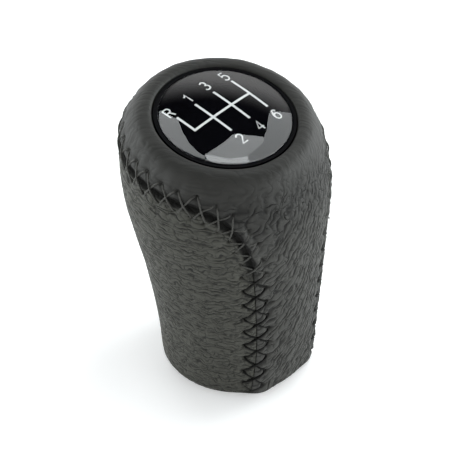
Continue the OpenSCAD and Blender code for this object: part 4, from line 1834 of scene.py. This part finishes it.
@dataclass
class CoreAndBase:
    """Foam body, spine, threaded insert, bush and closing ring, in millimetres."""

    nodes: dict
    thread_minor: float = 4.32
    thread_major: float = 5.0
    thread_pitch: float = 1.25
    insert_r: float = 7.5
    insert_l: float = 26.0
    insert_z: float = 14.0
    insert_cap: float = 3.0
    groove_d: float = 0.8
    groove_w: float = 2.4
    grooves: int = 2
    chamfer: float = 0.3
    groove_slope: float = 0.1
    flank: float = 0.40
    lead_in: float = 0.8
    lead_out: float = 1.5
    mouth_d: float = 0.55
    mouth_l: float = 0.6
    steps: int = 48
    steps_per_pitch: int = 8

    def insert_outline(self) -> list:
        """Outside of the insert with its grooves.

        Returns:
            Radius and height pairs, from the foot of the bore round to the middle of the top.
        """
        r, c, bottom = self.insert_r, self.chamfer, self.insert_z
        top = bottom + self.insert_l
        collar = (self.insert_l - self.grooves * self.groove_w) / (self.grooves + 1)
        outline = [(self.thread_major + c, bottom), (r - c, bottom), (r, bottom + c)]
        for k in range(self.grooves):
            z = bottom + (k + 1) * collar + k * self.groove_w
            low, high = z + self.groove_slope, z + self.groove_w - self.groove_slope
            outline += [(r, z), (r - self.groove_d, low), (r - self.groove_d, high), (r, z + self.groove_w)]
        return [*outline, (r, top - c), (r - c, top), (0.0, top)]

    def bore_r(self, up: float, deep: float, turn: float) -> float:
        """Radius of the threaded bore.

        Args:
            up: height over the bore's foot.
            deep: depth of the bore.
            turn: angle round it, as a share of a turn.

        Returns:
            The radius.
        """
        phase = (up / self.thread_pitch - turn) % 1.0
        depth = max(0.0, 1 - abs(phase - 0.5) / self.flank)
        lead = max(0.0, min(1.0, up / self.lead_in, (deep - up) / self.lead_out))
        mouth = self.mouth_d * max(0.0, 1 - up / self.mouth_l)
        return self.thread_minor + (self.thread_major - self.thread_minor) * depth * lead + mouth

    def belt(self, low: int, high: int, inward: bool = False) -> list:
        """Faces between two rings of points.

        Args:
            low: number of the lower ring's first point.
            high: number of the upper ring's first point.
            inward: whether the faces look towards the axis.

        Returns:
            The faces.
        """
        n = self.steps
        faces = [[low + k, low + (k + 1) % n, high + (k + 1) % n, high + k] for k in range(n)]
        return [face[:1] + face[:0:-1] for face in faces] if inward else faces

    def insert(self) -> bpy.types.Object:
        """Makes the turned brass insert with a true helical thread in its bore.

        Returns:
            The insert.
        """
        n = self.steps
        circle = [(math.cos(2 * math.pi * k / n), math.sin(2 * math.pi * k / n)) for k in range(n)]
        outline = self.insert_outline()
        rows = len(outline) - 1
        points = [(r * x, r * y, z) for r, z in outline[:-1] for x, y in circle] + [(0, 0, outline[-1][1])]
        faces = [face for i in range(rows - 1) for face in self.belt(i * n, (i + 1) * n)]
        faces += [[(rows - 1) * n + k, (rows - 1) * n + (k + 1) % n, rows * n] for k in range(n)]
        start, deep = len(points), self.insert_l - self.insert_cap
        levels = int(deep / self.thread_pitch) * self.steps_per_pitch
        for i in range(levels + 1):
            up = deep * i / levels
            for k, (x, y) in enumerate(circle):
                r = self.bore_r(up, deep, k / n)
                points.append((r * x, r * y, self.insert_z + up))
        for i in range(levels):
            faces += self.belt(start + i * n, start + (i + 1) * n, inward=True)
        faces += self.belt(0, start, inward=True)
        faces.append([start + levels * n + k for k in range(n)][::-1])
        piece = add_mesh("insert", np.array(points), faces, None, False)
        dress(piece, BrassFinish().build())
        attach(piece, BODY)
        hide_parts("threaded_insert")
        LOG.info("insert: %d faces", len(faces))
        return piece

    def build(self) -> None:
        """Makes the insert and dresses the CAD nodes of the core and the base."""
        dress_nodes(self.nodes, CORE_FINISHES)
        self.insert()
        LOG.info("core and base dressed")


# Studio


@dataclass
class Studio:
    """Plain pale floor, soft panels overhead and the camera at the photograph's angle.

    Angles are in degrees and lengths in millimetres. An overhead panel has the corners seen from above and
    its glow, a soft box its direction and its glow, where 1 is white.
    """

    azimuth: float = -48.10
    elevation: float = 41.00
    roll: float = 1.456
    distance: float = 1296.0
    scale: float = 4.177
    target: tuple = (0.0, 0.0, 35.0)
    target_px: tuple = (238.52, 238.01)
    frame_px: float = 450.0
    sensor_mm: float = 36.0
    clip_m: tuple = (0.05, 20.0)
    panel_z: float = 600.0
    panel_tint: tuple = (0.95, 0.99, 1.0)
    floor_half: float = 3000.0
    floor_tone: float = 0.9
    floor_cloud: float = 0.98
    floor_cloud_scale: float = 3.0
    floor_rough: float = 0.9
    floor_specular: float = 0.1
    floor_glow: float = 0.22
    band_full: float = 24.0
    band_end: float = 42.0
    band_power: float = 1.5
    ceiling_power: float = 0.0
    box_far: float = 600.0
    box_wide: float = 1100.0
    box_foot: float = 2.0
    box_high: float = 320.0
    boxes: tuple = (("box_right", 48.0, 7.0), ("box_left", -142.0, 5.5))
    overhead: tuple = (
        (
            "panel_left",
            (
                (263, 498), (223, 355), (170, 283), (125, 204), (107, 139),
                (111, 104), (-60, 60), (-60, 250), (0, 420), (120, 600),
            ),
            4.2,
        ),
        (
            "panel_near",
            (
                (116, 114), (181, 112), (248, 120), (285, 133), (404, 60),
                (377, 37), (309, 21), (237, 9), (168, 36),
            ),
            5.0,
        ),
        ("panel_lip", ((116, 114), (168, 36), (237, 9), (190, -120), (20, -60)), 9.0),
        (
            "panel_right",
            (
                (404, 60), (482, 107), (567, 166), (651, 217), (716, 215), (930, 190),
                (980, -100), (700, -260), (190, -120), (237, 9), (309, 21), (377, 37),
            ),
            3.3,
        ),
    )

    def camera(self) -> None:
        """Places the camera so that the target lands on its pixel."""
        a, e, r = math.radians(self.azimuth), math.radians(self.elevation), math.radians(self.roll)
        back = Vector((math.sin(a) * math.cos(e), -math.cos(a) * math.cos(e), math.sin(e)))
        right = Vector((math.cos(a), math.sin(a), 0))
        up = back.cross(right)
        right, up = math.cos(r) * right + math.sin(r) * up, -math.sin(r) * right + math.cos(r) * up
        dx = (self.target_px[0] - self.frame_px / 2) / self.scale
        dy = (self.target_px[1] - self.frame_px / 2) / self.scale
        eye = Vector(self.target) - dx * right + dy * up + self.distance * back
        data = bpy.data.cameras.new("camera")
        data.sensor_width = self.sensor_mm
        data.lens = self.sensor_mm * self.scale * self.distance / self.frame_px
        data.clip_start, data.clip_end = self.clip_m
        camera = bpy.data.objects.new("camera", data)
        turn = Matrix((right, up, back)).transposed().to_4x4()
        camera.matrix_world = Matrix.Translation(eye * MM) @ turn
        bpy.context.scene.collection.objects.link(camera)
        bpy.context.scene.camera = camera

    def glow(self, name: str, power: float) -> bpy.types.Material:
        """An even glow for a lighting panel.

        Args:
            name: the material's name.
            power: its glow, where 1 is white.

        Returns:
            The material.
        """
        t = Tree(name)
        shine = t.node("ShaderNodeEmission", None, Color=(*self.panel_tint, 1), Strength=power)
        t.tree.links.new(shine.outputs[0], t.out.inputs[0])
        return t.material

    def sheet(self, name: str, corners: list, power: float) -> None:
        """Adds a flat glowing sheet that the camera doesn't see.

        Args:
            name: the sheet's name.
            corners: its corners.
            power: its glow, where 1 is white.
        """
        made = add_mesh(name, np.array(corners, float), [list(range(len(corners)))], None, False)
        dress(made, self.glow(name, power))
        made.visible_camera = False

    def soft_box(self, turn: float) -> list:
        """Corners of a low glowing sheet that stands beside the knob.

        Args:
            turn: its direction, in degrees from the driver side towards the right.

        Returns:
            The corners.
        """
        a = math.radians(turn)
        way, along = np.array([math.sin(a), -math.cos(a)]), np.array([math.cos(a), math.sin(a)])
        left = way * self.box_far - along * self.box_wide / 2
        right = way * self.box_far + along * self.box_wide / 2
        low, high = self.box_foot, self.box_high
        return [(*left, low), (*right, low), (*right, high), (*left, high)]

    def lights(self) -> None:
        """Hangs the panels that the badge reflects, and stands a low soft box on each side."""
        for name, outline, power in self.overhead:
            self.sheet(name, [(x, y, self.panel_z) for x, y in outline], power)
        for name, turn, power in self.boxes:
            self.sheet(name, self.soft_box(turn), power)

    def world(self) -> None:
        """Surrounds the floor with a bright, even band of light below a dark ceiling."""
        made = bpy.data.worlds.new("surround")
        made.use_nodes = True
        nodes, links = made.node_tree.nodes, made.node_tree.links
        coords = nodes.new("ShaderNodeTexCoord")
        split = nodes.new("ShaderNodeSeparateXYZ")
        band = nodes.new("ShaderNodeMapRange")
        band.interpolation_type = "SMOOTHSTEP"
        limits = {
            "From Min": math.sin(math.radians(self.band_full)),
            "From Max": math.sin(math.radians(self.band_end)),
            "To Min": self.band_power,
            "To Max": self.ceiling_power,
        }
        for name, limit in limits.items():
            band.inputs[name].default_value = limit
        links.new(coords.outputs["Generated"], split.inputs[0])
        links.new(split.outputs[2], band.inputs[0])
        links.new(band.outputs[0], nodes["Background"].inputs[1])
        nodes["Background"].inputs[0].default_value = (1, 1, 1, 1)
        bpy.context.scene.world = made

    def floor(self) -> None:
        """Lays the plain pale floor."""
        half = self.floor_half
        corners = [(-half, -half, 0), (half, -half, 0), (half, half, 0), (-half, half, 0)]
        made = add_mesh("floor", np.array(corners, float), [[0, 1, 2, 3]], None, False)
        t = Tree("floor")
        grey = self.floor_tone
        shade = tuple(c * self.floor_cloud for c in (grey, grey, grey))
        finish = t.surface(
            Base_Color=t.blend(t.noise(self.floor_cloud_scale, 2.0), shade, (grey, grey, grey)),
            Roughness=self.floor_rough,
            Specular_IOR_Level=self.floor_specular,
            Emission_Color=(1, 1, 1, 1),
            Emission_Strength=self.floor_glow,
        )
        dress(made, finish)

    def build(self) -> None:
        """Makes the whole studio."""
        self.camera()
        self.floor()
        self.lights()
        self.world()
        bpy.context.scene.view_settings.view_transform = "Standard"
        LOG.info("studio ready")


def main() -> None:
    """Builds the knob's looks and its studio in order."""
    logging.basicConfig(level=logging.INFO, format="%(message)s")
    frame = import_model()
    form = BodyForm()
    seam = SeamLine(form)
    lace = LaceLayout()
    edges = {side: SeamRelief(seam, lace, side) for side in Side}
    wrap_relief = LeatherRelief(form, edges[Side.WRAP], GrainScale())
    hood_relief = LeatherRelief(form, edges[Side.HOOD], TONGUE_GRAIN)
    LeatherWrap(form, seam, wrap_relief, LeatherFinish()).build()
    LeatherHood(form, seam, hood_relief, HOOD_FINISH).build()
    Lacing(form, seam, lace, edges, ThreadFinish()).build()
    Badge(form, frame["nodes"]).build()
    CoreAndBase(frame["nodes"]).build()
    Studio().build()


if __name__ == "__main__":
    main()
